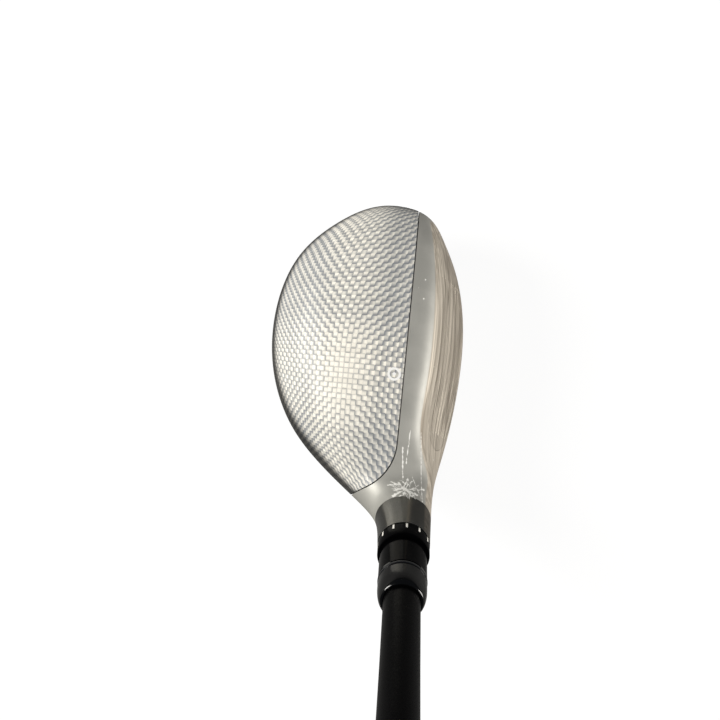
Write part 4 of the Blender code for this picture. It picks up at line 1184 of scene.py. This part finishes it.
@dataclass
class Head:
    """The head: cast steel shell, woven crown panel, scored face insert, and the soft strip in the sole."""

    form: HeadForm = field(default_factory=HeadForm)
    seam_gap: float = 0.15 * MM
    crown_thickness: float = 1.2 * MM
    seat_gap: float = 0.30 * MM
    face_thickness: float = 2.2 * MM
    seam_x: float = -4.0 * MM
    seam_corner: float = 15.0 * MM
    seam_heel_drop: float = math.radians(29)
    seam_corner_y: float = -36.9 * MM
    skirt_height: float = 13.5 * MM
    face_low: float = 0.15
    face_high: float = 0.80
    face_heel: float = -0.80
    face_toe: float = 0.86
    grooves: int = 9
    groove_pitch: float = 2.6 * MM
    groove_width: float = 0.8 * MM
    groove_depth: float = 0.40 * MM
    groove_length: float = 46 * MM
    groove_first: float = 6.8 * MM
    slot_x: float = 6.5 * MM
    slot_width: float = 3.0 * MM
    slot_length: float = 50 * MM
    slot_depth: float = 2.2 * MM
    reach: float = 12 * MM

    def seam_outline(self, gap: float) -> Outline:
        """The crown panel's edge in plan: straight front, rounded heel corner, sloping heel edge."""
        front = self.seam_x - gap
        heading = Vector((-math.cos(self.seam_heel_drop), -math.sin(self.seam_heel_drop)))
        turn = math.pi / 2 - self.seam_heel_drop
        corner = Vector((front, self.seam_corner_y + gap * math.tan(turn / 2)))
        centre = corner + Vector((-self.seam_corner, self.seam_corner * math.tan(turn / 2)))
        steps = 24
        far_toe = self.form.toe_reach + self.reach
        points = [Vector((front, far_toe))]
        for i in range(steps + 1):
            angle = -turn * i / steps
            points.append(centre + self.seam_corner * Vector((math.cos(angle), math.sin(angle))))
        points.append(corner + heading * (self.form.depth + self.reach))
        points.append(Vector((self.form.face_progression - self.form.depth - self.reach, far_toe)))
        return [tuple(point) for point in points]

    def face_outline(self, margin: float) -> Outline:
        """The face insert's edge seen from the target, as y and height."""
        low, high = [], []
        for station in self.form.stations:
            if not self.face_heel < station.reach < self.face_toe:
                continue
            y = station.reach * (self.form.toe_reach if station.reach > 0 else self.form.heel_reach)
            bottom = station.low * self.form.crown_height
            height = (station.high - station.low) * self.form.crown_height
            low.append(Vector((y, bottom + self.face_low * height + margin)))
            high.append(Vector((y, bottom + self.face_high * height - margin)))
        toe = Vector((self.face_toe * self.form.toe_reach - margin, (low[0].y + high[0].y) / 2))
        heel = Vector((self.face_heel * self.form.heel_reach + margin, (low[-1].y + high[-1].y) / 2))
        return [tuple(point) for point in rounded([toe, *high, heel, *reversed(low)], 4)]

    def slot_outline(self, gap: float) -> Outline:
        """The sole slot's outline, with round ends."""
        radius = self.slot_width / 2 - gap
        half = (self.slot_length - self.slot_width) / 2
        points = []
        for side in (1, -1):
            for i in range(17):
                angle = math.pi * i / 16
                points.append((self.slot_x + side * radius * math.cos(angle),
                               side * (half + radius * math.sin(angle))))
        return points

    def shell(self, weight: "SoleWeight", sleeve: "LoftSleeve", bolt: "HoselBolt") -> Piece:
        """The steel shell with its recesses, bores and sole slot.

        Args:
            weight: Gives the sole weight's port.
            sleeve: Gives the bore and spline socket in the hosel.
            bolt: Gives the bolt's port in the sole.

        Returns:
            The piece.
        """
        form = self.form
        body = form.build("head_shell")
        seat = self.crown_thickness + self.seat_gap
        recess = prism("crown_recess", self.seam_outline(-self.seam_gap), self.skirt_height - self.seam_gap,
                       form.crown_height + self.reach)
        floor = form.build("crown_floor", Inset(seat, seat, seat, seat), 3)
        boolean(recess, "DIFFERENCE", floor)
        settle(recess)
        face_recess = prism("face_recess", self.face_outline(-self.seam_gap), self.seam_x,
                            form.face_progression + self.reach, sideways())
        face_floor = form.build("face_floor", Inset(face=self.face_thickness + self.seat_gap), 3)
        boolean(face_recess, "DIFFERENCE", face_floor)
        settle(face_recess)
        slot = prism("sole_slot", self.slot_outline(0.0), -self.reach, self.slot_depth)
        keel = prism("keel_cut", square(0.15), -self.reach, 0.0)
        cutters = [recess, face_recess, slot, keel, *weight.port(), *sleeve.sockets(), *bolt.ports()]
        for cutter in cutters:
            boolean(body, "DIFFERENCE", cutter)
        bevel(body, 0.16 * MM, 2, 45)
        settle(body)
        drop(*cutters, floor, face_floor)
        paint(shade(body, 38), STEEL.material())
        return Piece(body, Body.HEAD, ("head_body",), "satin_steel")

    def crown(self) -> Piece:
        """The woven crown panel, with its cloth laid over the form in a UV map."""
        form = self.form
        panel = form.build("crown_panel_woven")
        edge = prism("crown_edge", self.seam_outline(self.seam_gap), self.skirt_height + self.seam_gap,
                     form.crown_height + self.reach)
        thick = self.crown_thickness
        back = form.build("crown_back", Inset(thick, thick, thick, thick), 3)
        boolean(panel, "INTERSECT", edge)
        boolean(panel, "DIFFERENCE", back)
        bevel(panel, 0.12 * MM, 2, 45)
        settle(panel)
        drop(edge, back)
        self.lay_cloth(panel)
        paint(shade(panel, 38), COMPOSITE.material())
        return Piece(panel, Body.HEAD, ("crown_panel",), "woven_composite")

    def lay_cloth(self, panel: bpy.types.Object) -> None:
        """Writes cloth coordinates in metres to a UV map.

        They are the plan position plus how far the surface has dropped in the direction it faces, with the
        tows leaning towards the toe as drawn cloth does.

        Args:
            panel: The crown panel.
        """
        mesh = panel.data
        layer = mesh.uv_layers.new(name="cloth")
        count = len(mesh.vertices)
        points, normals = np.empty(count * 3), np.empty(count * 3)
        mesh.vertices.foreach_get("co", points)
        mesh.vertices.foreach_get("normal", normals)
        points, normals = points.reshape(-1, 3), normals.reshape(-1, 3)
        drop_by = self.form.crown_height - points[:, 2]
        x = points[:, 0] + drop_by * normals[:, 0]
        y = points[:, 1] + drop_by * normals[:, 1]
        rise = np.clip((y + 0.005) / 0.030, 0.0, None)
        lean = 0.27 * 0.030 * np.where(rise < 1, rise ** 2 / 2, rise - 0.5)
        tilt = 0.10 * np.clip(rise, 0.0, 1.0)
        cloth = np.stack([x - lean + 0.2, y - tilt * x + 0.2], axis=1)
        corners = np.empty(len(mesh.loops), dtype=np.int64)
        mesh.loops.foreach_get("vertex_index", corners)
        layer.data.foreach_set("uv", cloth[corners].astype(np.float32).ravel())

    def face(self) -> Piece:
        """The face insert with its scoring lines."""
        form = self.form
        plate = form.build("face_insert_scored")
        edge = prism("face_edge", self.face_outline(0.0), self.seam_x, form.face_progression + self.reach,
                     sideways())
        back = form.build("face_back", Inset(face=self.face_thickness), 3)
        material = FACE_STEEL.material()
        blades = row_of_blades(material, self.grooves, self.groove_pitch, self.groove_first,
                               (0.05, self.groove_length, self.groove_width))
        floor = form.build("groove_floor", Inset(face=self.groove_depth), 4)
        boolean(blades, "DIFFERENCE", floor)
        settle(blades)
        boolean(plate, "INTERSECT", edge)
        boolean(plate, "DIFFERENCE", back)
        boolean(plate, "DIFFERENCE", blades)
        bevel(plate, 0.08 * MM, 1, 45)
        settle(plate)
        drop(edge, back, blades, floor)
        paint(shade(plate, 38), material)
        return Piece(plate, Body.HEAD, ("face_plate",), "brushed_face_steel")

    def sole_insert(self) -> Piece:
        """The soft insert that closes the sole slot."""
        insert = self.form.build("sole_slot_insert")
        edge = prism("insert_edge", self.slot_outline(self.seam_gap), -self.reach,
                     self.slot_depth - self.seat_gap)
        boolean(insert, "INTERSECT", edge)
        bevel(insert, 0.25 * MM, 2, 45)
        settle(insert)
        drop(edge)
        paint(shade(insert, 38), SOFT_BLACK.material())
        return Piece(insert, Body.HEAD, ("slot_filler",), "soft_black")


@dataclass
class SoleWeight:
    """The screw-in weight at the back of the sole. Heights are above the skin's own point, outwards."""

    axis: Axis = Axis(Vector((-29.0, 2.0, 3.063)) * MM, Vector((-0.26904, -0.00053, -0.963129)).normalized())
    radius: float = 6.2 * MM
    height: float = 4.2 * MM
    recess: float = 0.4 * MM
    stem_radius: float = 3.6 * MM
    stem: float = 5.5 * MM
    drive: float = 2.6 * MM
    drive_depth: float = 2.6 * MM
    slide_gap: float = 0.13 * MM
    seal: float = 1.5 * MM

    def port(self) -> list[bpy.types.Object]:
        """Cutters for its counterbore and tapped hole."""
        floor = -(self.recess + self.height + self.seal)
        outer, inner = self.radius + self.slide_gap, self.stem_radius + self.slide_gap
        end = floor - self.stem - 0.3 * MM
        return [
            turned("weight_counterbore", [(0, 0.012), (outer, 0.012), (outer, floor), (0, floor)], self.axis),
            turned("weight_hole", [(0, 0.0), (inner, 0.0), (inner, end), (0, end)], self.axis, steps=64),
        ]

    def build(self) -> Piece:
        """The weight with its chamfers, turned ring, lobed drive and threaded stem."""
        top, under = -self.recess, -self.recess - self.height
        edge = 0.35 * MM
        ring = self.radius * 0.72
        end = under - self.seal - self.stem + 0.3 * MM
        groove, chamfer, root = top - 0.25 * MM, 0.1 * MM, self.stem_radius - edge
        profile = [
            (0, top), (ring - edge, top), (ring - edge, groove), (ring, groove), (ring, top),
            (self.radius - edge, top), (self.radius - chamfer, top - chamfer), (self.radius, top - edge),
            (self.radius, under + edge), (self.radius - edge, under), (root, under)]
        pitch = 1.0 * MM
        height = under - 0.6 * MM
        while height > end + pitch:
            profile += [(root, height), (self.stem_radius, height - pitch * 0.4),
                        (self.stem_radius, height - pitch * 0.5), (root, height - pitch * 0.9)]
            height -= pitch
        profile += [(root, end), (0, end)]
        weight = turned("sole_weight_turned", profile, self.axis)
        drive = prism("drive", lobes(self.drive, 6, 0.22), top - self.drive_depth, 0.01, self.axis.matrix())
        boolean(weight, "DIFFERENCE", drive)
        bevel(weight, 0.05 * MM, 1, 50)
        settle(weight)
        drop(drive)
        paint(shade(weight), TUNGSTEN.material())
        return Piece(weight, Body.WEIGHT, ("sole_weight",), "tungsten_alloy")


@dataclass
class HoselBolt:
    """The captive bolt under the sleeve. Heights are on the hosel's axis, from its end."""

    radius: float = 2.50 * MM
    head_radius: float = 4.20 * MM
    head_height: float = 5.0 * MM
    drive: float = 2.20 * MM
    drive_depth: float = 3.2 * MM
    tip: float = -27.5 * MM
    shelf_top: float = -36.3 * MM
    shelf_bottom: float = -39.9 * MM
    washer: float = 1.0 * MM
    port_end: float = -0.07
    port_radius: float = 5.0 * MM
    pitch: float = 0.8 * MM

    def ports(self) -> list[bpy.types.Object]:
        """Cutters for its hole and its port in the sole."""
        hole = self.radius + 0.3 * MM
        high, low = self.shelf_top + 3 * MM, self.shelf_bottom - 3 * MM
        port = self.port_radius
        return [
            turned("bolt_hole", [(0, high), (hole, high), (hole, low), (0, low)], HOSEL, steps=64),
            turned("bolt_port", [(0, self.shelf_bottom), (port, self.shelf_bottom),
                                 (port, self.port_end), (0, self.port_end)], HOSEL, steps=96),
        ]

    def build(self) -> Piece:
        """The bolt with its thread's crests, chamfered head and lobed drive."""
        head_top = self.shelf_bottom - self.washer - 0.6 * MM
        head_low = head_top - self.head_height
        edge = 0.4 * MM
        depth = 0.25 * MM
        profile = [(0, self.tip), (self.radius - edge, self.tip), (self.radius - depth, self.tip - edge)]
        height = self.tip - edge
        while height > head_top + 3 * self.pitch:
            profile += [(self.radius, height - self.pitch * 0.45), (self.radius, height - self.pitch * 0.55),
                        (self.radius - depth, height - self.pitch)]
            height -= self.pitch
        profile += [(self.radius - depth, head_top), (self.head_radius - edge, head_top),
                    (self.head_radius, head_top - edge), (self.head_radius, head_low + edge),
                    (self.head_radius - edge, head_low), (0, head_low)]
        bolt = turned("hosel_bolt_turned", profile, HOSEL, steps=64)
        drive = prism("drive", lobes(self.drive, 6, 0.22), head_low - 0.005, head_low + self.drive_depth,
                      HOSEL.matrix())
        boolean(bolt, "DIFFERENCE", drive)
        settle(bolt)
        drop(drive)
        return Piece(paint(shade(bolt), ZINC.material()), Body.BOLT, ("hosel_bolt",), "dark_zinc")


@dataclass
class LoftSleeve:
    """The adjustable sleeve: collar and splines on the hosel's axis, upper part on the shaft's."""

    radius: float = 5.693 * MM
    collar_radius: float = 6.953 * MM
    collar_height: float = 5.6 * MM
    upper_radius: float = 6.303 * MM
    upper_height: float = 11.1 * MM
    seat_gap: float = 0.3 * MM
    bottom: float = -34.5 * MM
    spline_count: int = 12
    spline_depth: float = 0.45 * MM
    spline_length: float = 5.0 * MM
    slide_gap: float = 0.13 * MM
    tick_phase: float = math.radians(28.5)
    trim_side: float = 0.03
    trim_height: float = 0.012
    bore_radius: float = 4.85 * MM
    bore_end: float = -0.015
    thread_radius: float = 2.63 * MM
    thread_top: float = -0.024
    thread_end: float = -0.047
    overlap: float = 0.5 * MM

    def spline_outline(self, root: float, tip: float) -> Outline:
        """Flat-topped teeth a little narrower than the gaps."""
        points = []
        for i in range(self.spline_count):
            for share, radius in ((0.22, root), (0.30, tip), (0.58, tip), (0.66, root)):
                angle = math.tau * (i + share) / self.spline_count
                points.append((radius * math.cos(angle), radius * math.sin(angle)))
        return points

    def sockets(self) -> list[bpy.types.Object]:
        """Cutters for the hosel's end, spline socket and bore."""
        bore = self.radius + self.slide_gap
        tip = bore + self.spline_depth
        low, top = self.bottom - 1.8 * MM, self.trim_height
        teeth = self.spline_outline(bore - self.spline_depth, tip)
        return [
            prism("hosel_trim", square(self.trim_side), 0.0, top, HOSEL.matrix()),
            prism("spline_socket", teeth, -self.spline_length - self.seat_gap, top, HOSEL.matrix()),
            turned("sleeve_bore", [(0, top), (bore, top), (bore, low), (0, low)], HOSEL, steps=128),
        ]

    def build(self) -> list[Piece]:
        """The sleeve and its painted ticks."""
        seat, top = self.seat_gap, self.seat_gap + self.collar_height
        soft = 0.25 * MM
        collar = turned("loft_sleeve_finished", [
            (0, top), (self.collar_radius - 2 * soft, top),
            (self.collar_radius - 0.6 * soft, top - 0.4 * soft), (self.collar_radius, top - 2 * soft),
            (self.collar_radius, seat + soft), (self.collar_radius - soft, seat),
            (self.radius, seat), (self.radius, self.bottom + 2 * soft),
            (self.radius - 2 * soft, self.bottom), (0, self.bottom)], HOSEL)
        outline = self.spline_outline(self.radius - self.overlap, self.radius + self.spline_depth)
        teeth = prism("sleeve_splines", outline, -self.spline_length, seat + self.overlap, HOSEL.matrix())
        low = PIVOT_DEPTH + top
        high = low + self.upper_height
        upper = turned("sleeve_upper", [
            (0, high), (self.upper_radius - soft, high), (self.upper_radius, high - soft),
            (self.upper_radius, low - 2.5 * MM), (0, low - 2.5 * MM)], SHAFT)
        boolean(collar, "UNION", teeth)
        boolean(collar, "UNION", upper)
        bore = turned("shaft_bore", [(0, high + 0.01), (self.bore_radius, high + 0.01),
                                     (self.bore_radius, self.bore_end), (0, self.bore_end)], SHAFT, steps=96)
        thread = self.thread_radius
        tapped = turned("tapped", [(0, self.thread_top), (thread, self.thread_top),
                                   (thread, self.thread_end), (0, self.thread_end)], HOSEL, steps=64)
        boolean(collar, "DIFFERENCE", bore)
        boolean(collar, "DIFFERENCE", tapped)
        settle(collar)
        drop(teeth, upper, bore, tapped)
        paint(shade(collar), BLACK_ALLOY.material())
        ticks = ring_of_pads("sleeve_ticks", PAINT.material(), self.spline_count,
                             self.collar_radius - 0.03 * MM, seat + 1.15 * MM, self.tick_phase,
                             (0.10 * MM, 0.55 * MM, 2.1 * MM))
        ticks.data.transform(HOSEL_FRAME)
        bevel(ticks, 0.04 * MM, 2)
        settle(ticks)
        shade(ticks, 60)
        return [Piece(collar, Body.SHAFT, ("loft_sleeve",), "black_alloy"), Piece(ticks, Body.SHAFT)]


HOSEL_FRAME = Matrix.Translation(HOSEL_END) @ Matrix((
    (1, 0, 0, 0),
    (0, math.sin(HOSEL_LIE), -math.cos(HOSEL_LIE), 0),
    (0, math.cos(HOSEL_LIE), math.sin(HOSEL_LIE), 0),
    (0, 0, 0, 1),
))


@dataclass
class Ferrule:
    """The smoked trim ring above the sleeve, and the domed ferrule. Heights are on the shaft's axis."""

    bore: float = 4.85 * MM
    outer: float = 6.303 * MM
    low: float = 29.3 * MM
    trim_height: float = 0.9 * MM
    trim_proud: float = 0.10 * MM
    gap: float = 0.3 * MM
    height: float = 8.2 * MM
    rim: float = 0.35 * MM

    def build(self) -> list[Piece]:
        """The ring and the ferrule."""
        high = self.low + self.trim_height
        out = self.outer + self.trim_proud
        soft = 0.25 * MM
        ring = turned("trim_ring_turned", [
            (self.bore, high - soft), (self.bore + soft, high), (out - soft, high),
            (out - soft * 0.3, high - soft * 0.3), (out, high - soft), (out, self.low + soft),
            (out - soft, self.low), (self.bore + soft, self.low),
            (self.bore, self.low + soft)], SHAFT, ring=True)
        base = high + self.gap
        straight = self.height * 0.35
        rim = self.bore + self.rim
        profile = [(self.bore, base + self.height)]
        for i in range(25):
            angle = math.pi / 2 * (1 - i / 24)
            profile.append((rim + (self.outer - rim) * math.cos(angle),
                            base + straight + (self.height - straight) * math.sin(angle)))
        profile += [(self.outer, base + soft), (self.outer - soft, base), (self.bore, base)]
        dome = turned("ferrule_domed", profile, SHAFT, ring=True)
        return [Piece(paint(ring, RING_METAL.material()), Body.SHAFT, ("trim_ring",), "bright_aluminium"),
                Piece(paint(dome, GLOSS_BLACK.material()), Body.SHAFT, ("ferrule",), "black_plastic")]


@dataclass
class Shaft:
    """The tapered shaft. Heights are on its axis from the pivot."""

    low: float = -14.7 * MM
    parallel: float = 80 * MM
    high: float = 0.97792
    full: float = 0.8803
    tip_radius: float = 4.70 * MM
    butt_radius: float = 7.60 * MM
    wall: float = 1.20 * MM

    def radius_at(self, height: float) -> float:
        """The outer radius at a height."""
        taper = (self.butt_radius - self.tip_radius) / (self.full - self.low - self.parallel)
        return min(self.butt_radius, self.tip_radius + max(0.0, height - self.low - self.parallel) * taper)

    def build(self) -> Piece:
        """The tube, with softened ends."""
        soft = 0.2 * MM
        knots = [self.low + soft, self.low + self.parallel]
        taper = self.full - self.low - self.parallel
        knots += [self.low + self.parallel + taper * i / 12 for i in range(1, 13)]
        knots.append(self.high - soft)
        outside = [(self.radius_at(height), height) for height in reversed(knots)]
        inside = [(self.radius_at(height) - self.wall, height) for height in knots]
        butt = self.radius_at(self.high)
        top = [(butt - self.wall + soft, self.high), (butt - soft, self.high)]
        bottom = [(self.tip_radius - soft, self.low), (self.tip_radius - self.wall + soft, self.low)]
        tube = turned("shaft_lacquered", top + outside + bottom + inside, SHAFT, ring=True, steps=96)
        return Piece(paint(tube, SHAFT_BLACK.material()), Body.SHAFT, ("shaft",), "matte_black_composite")


@dataclass
class Grip:
    """The rubber grip with its treads, and its cap."""

    shaft: Shaft
    end: float = 0.98322
    length: float = 268 * MM
    mouth_radius: float = 8.90 * MM
    lower_radius: float = 10.9 * MM
    upper_radius: float = 11.9 * MM
    cap_radius: float = 13.4 * MM
    cap_height: float = 5.0 * MM
    gap: float = 0.55 * MM
    vent: float = 1.6 * MM

    def outer_profile(self) -> list[tuple[float, float]]:
        """The outer side from cap to mouth, with the three bands near the mouth."""
        low, high = self.end - self.length, self.end - self.cap_height
        profile = [
            (self.cap_radius, high), (self.cap_radius - 0.05 * MM, high - 2 * MM),
            (self.cap_radius - 0.3 * MM, high - 4 * MM), (self.upper_radius + 1.05 * MM, high - 8 * MM),
            (self.upper_radius + 0.6 * MM, high - 14 * MM), (self.upper_radius + 0.25 * MM, high - 24 * MM),
            (self.upper_radius, high - 40 * MM), (self.lower_radius, low + self.length * 0.45),
            (self.mouth_radius + 0.7 * MM, low + 24 * MM),
        ]
        band, groove, soft = 2.2 * MM, 0.5 * MM, 0.4 * MM
        for i in range(3):
            top = low + 21 * MM - i * 3 * band
            radius = self.mouth_radius + (0.55 - 0.12 * i) * MM
            profile += [(radius, top), (radius - groove, top - soft), (radius - groove, top - band + soft),
                        (radius, top - band)]
        return profile + [(self.mouth_radius, low + 1.5 * MM), (self.mouth_radius - 0.2 * MM, low + 0.5 * MM),
                          (self.mouth_radius - 0.6 * MM, low)]

    def build(self) -> list[Piece]:
        """The grip, its two zones of tread and the cap."""
        low, high = self.end - self.length, self.end - self.cap_height
        inside = [(self.shaft.radius_at(h) + self.gap, h) for h in (low, self.shaft.full, high)]
        body = turned("grip_moulded", self.outer_profile() + inside, SHAFT, ring=True)
        paint(body, RUBBER.material())
        treads = []
        raised = RAISED_RUBBER.material()
        zones = (
            (low + 30 * MM, low + 112 * MM, self.mouth_radius + 0.85 * MM, self.lower_radius - 0.12 * MM, 30),
            (low + 124 * MM, high - 44 * MM, self.lower_radius + 0.02 * MM, self.upper_radius - 0.06 * MM, 40),
        )
        for i, (start, stop, radius_start, radius_stop, rows) in enumerate(zones):
            pips = tread(f"grip_tread_{i + 1}", raised, 22, rows, start, stop, radius_start, radius_stop,
                         (0.55 * MM, 1.7 * MM, 2.0 * MM))
            pips.data.transform(SHAFT.matrix())
            shade(pips, 60)
            treads.append(Piece(pips, Body.SHAFT))
        edge = 1.6 * MM
        cap_low = high + 0.3 * MM
        out, end, lip = self.cap_radius, self.end, self.end - 0.3 * MM
        cap = turned("grip_cap_moulded", [
            (self.vent, lip), (self.vent + 0.3 * MM, end), (out - 2.6 * edge, end), (out - 2.4 * edge, lip),
            (out - 2.2 * edge, lip), (out - 2.0 * edge, end), (out - 1.3 * edge, end - 0.12 * edge),
            (out - 0.8 * edge, end - 0.35 * edge), (out - 0.4 * edge, end - 0.7 * edge),
            (out - 0.2 * edge, end - edge), (out, end - 1.7 * edge), (out, cap_low), (self.vent, cap_low)],
            SHAFT, ring=True)
        paint(cap, SOFT_BLACK.material())
        return [Piece(body, Body.SHAFT, ("grip",), "black_rubber"), *treads,
                Piece(cap, Body.SHAFT, ("grip_cap",), "soft_black")]


class CarriedNode(Enum):
    """The frame's nodes that keep their own mesh, and the finish that each gets."""

    WASHER = "bolt_washer"
    RETAINER = "bolt_retainer"
    SEAL = "weight_seal"
    PLUG = "tip_plug"
    TAPE = "grip_tape"

    def finish(self) -> Finish:
        """The finish for this node."""
        return {CarriedNode.WASHER: ZINC, CarriedNode.RETAINER: SOFT_BLACK, CarriedNode.SEAL: SOFT_BLACK,
                CarriedNode.PLUG: BRASS, CarriedNode.TAPE: TAPE}[self]

    def dress(self) -> None:
        """Gives the node its material."""
        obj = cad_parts[self.value]
        material = self.finish().material()
        for slot in obj.material_slots:
            slot.material = material
        LOG.info("%s: carried over with %s", self.value, material.name)


# ====================================================================== studio
@dataclass
class Studio:
    """The floor, the soft lights, the world and the camera."""

    camera_at: tuple[float, float, float] = (-0.01249, -0.0552, 0.375)
    lens: float = 60.0
    world_colour: Colour = (0.80, 0.88, 1.0)
    world_strength: float = 0.07
    floor_glow: float = 0.90
    floor_seen: float = 0.14
    floor_bounce: float = 0.20
    floor_half: float = 6.0

    def build(self) -> None:
        """Sets everything up."""
        self.floor()
        self.world()
        self.softbox("left_softbox", (-0.60, 0.04, 0.36), (-0.02, -0.01, 0.03), 0.36, 6.3, (1.0, 0.975, 0.92))
        self.softbox("right_softbox", (0.60, -0.08, 0.22), (0.0, -0.03, 0.03), 0.34, 4.4, (1.0, 0.97, 0.92))
        self.camera()

    @staticmethod
    def matte(g: Graph, tone: float) -> bpy.types.NodeSocket:
        """A matte grey shader's result."""
        return g.node("ShaderNodeBsdfDiffuse", {"Color": (tone, tone, tone, 1.0)}).outputs[0]

    def floor(self) -> None:
        """A plain pale floor under the club. It looks pale to the eye and sends little light back up."""
        made = bpy.data.materials.new("pale_floor")
        made.use_nodes = True
        made.node_tree.nodes.clear()
        g = Graph(made.node_tree)
        glow = g.node("ShaderNodeEmission", {"Color": (1.0, 1.0, 1.0, 1.0), "Strength": self.floor_glow})
        seen = g.row("ShaderNodeAddShader", (glow.outputs[0], self.matte(g, self.floor_seen)))
        eye = g.node("ShaderNodeLightPath").outputs["Is Camera Ray"]
        pick = g.row("ShaderNodeMixShader", (eye, self.matte(g, self.floor_bounce), seen.outputs[0]))
        g.row("ShaderNodeOutputMaterial", (pick.outputs[0],))
        floor = prism("studio_floor", square(self.floor_half), -0.01, -0.0002)
        paint(floor, made)

    def world(self) -> None:
        """An even pale-blue room."""
        world = bpy.data.worlds.new("studio_room")
        world.use_nodes = True
        back = world.node_tree.nodes["Background"]
        back.inputs["Color"].default_value = (*self.world_colour, 1.0)
        back.inputs["Strength"].default_value = self.world_strength
        bpy.context.scene.world = world

    def softbox(self, name: str, at: tuple[float, float, float], to: tuple[float, float, float], size: float,
                power: float, colour: Colour) -> None:
        """A round area light aimed at a point.

        Args:
            name: The light's name.
            at: Where it stands.
            to: The point it faces.
            size: Its diameter.
            power: Its power in watts.
            colour: Its colour.
        """
        data = bpy.data.lights.new(name, "AREA")
        data.shape, data.size, data.energy, data.color = "DISK", size, power, colour
        obj = bpy.data.objects.new(name, data)
        direction = Vector(to) - Vector(at)
        obj.matrix_world = Matrix.Translation(at) @ direction.to_track_quat("-Z", "Y").to_matrix().to_4x4()
        bpy.context.scene.collection.objects.link(obj)

    def camera(self) -> None:
        """The camera above the head, looking down at address."""
        data = bpy.data.cameras.new("address_camera")
        data.lens, data.sensor_width = self.lens, 36.0
        data.clip_start, data.clip_end = 0.01, 20.0
        obj = bpy.data.objects.new("address_camera", data)
        rows = ((0.9946, 0.1017, 0.0019), (-0.1009, 0.9840, 0.1455), (0.0129, -0.1450, 0.9893))
        turn = Matrix(rows).transposed().to_quaternion().to_matrix().to_4x4()
        obj.matrix_world = Matrix.Translation(self.camera_at) @ turn
        bpy.context.scene.collection.objects.link(obj)
        scene = bpy.context.scene
        scene.camera = obj
        scene.view_settings.view_transform = "Standard"


def main() -> None:
    """Builds the studio and the club, piece by piece."""
    Studio().build()
    weight, sleeve, bolt, shaft = SoleWeight(), LoftSleeve(), HoselBolt(), Shaft()
    head = Head()
    pieces = [head.shell(weight, sleeve, bolt), head.crown(), head.face(), head.sole_insert(), weight.build(),
              bolt.build(), *sleeve.build(), *Ferrule().build(), shaft.build(), *Grip(shaft).build()]
    for piece in pieces:
        piece.attach()
    for node in CarriedNode:
        node.dress()


if __name__ == "__main__":
    main()
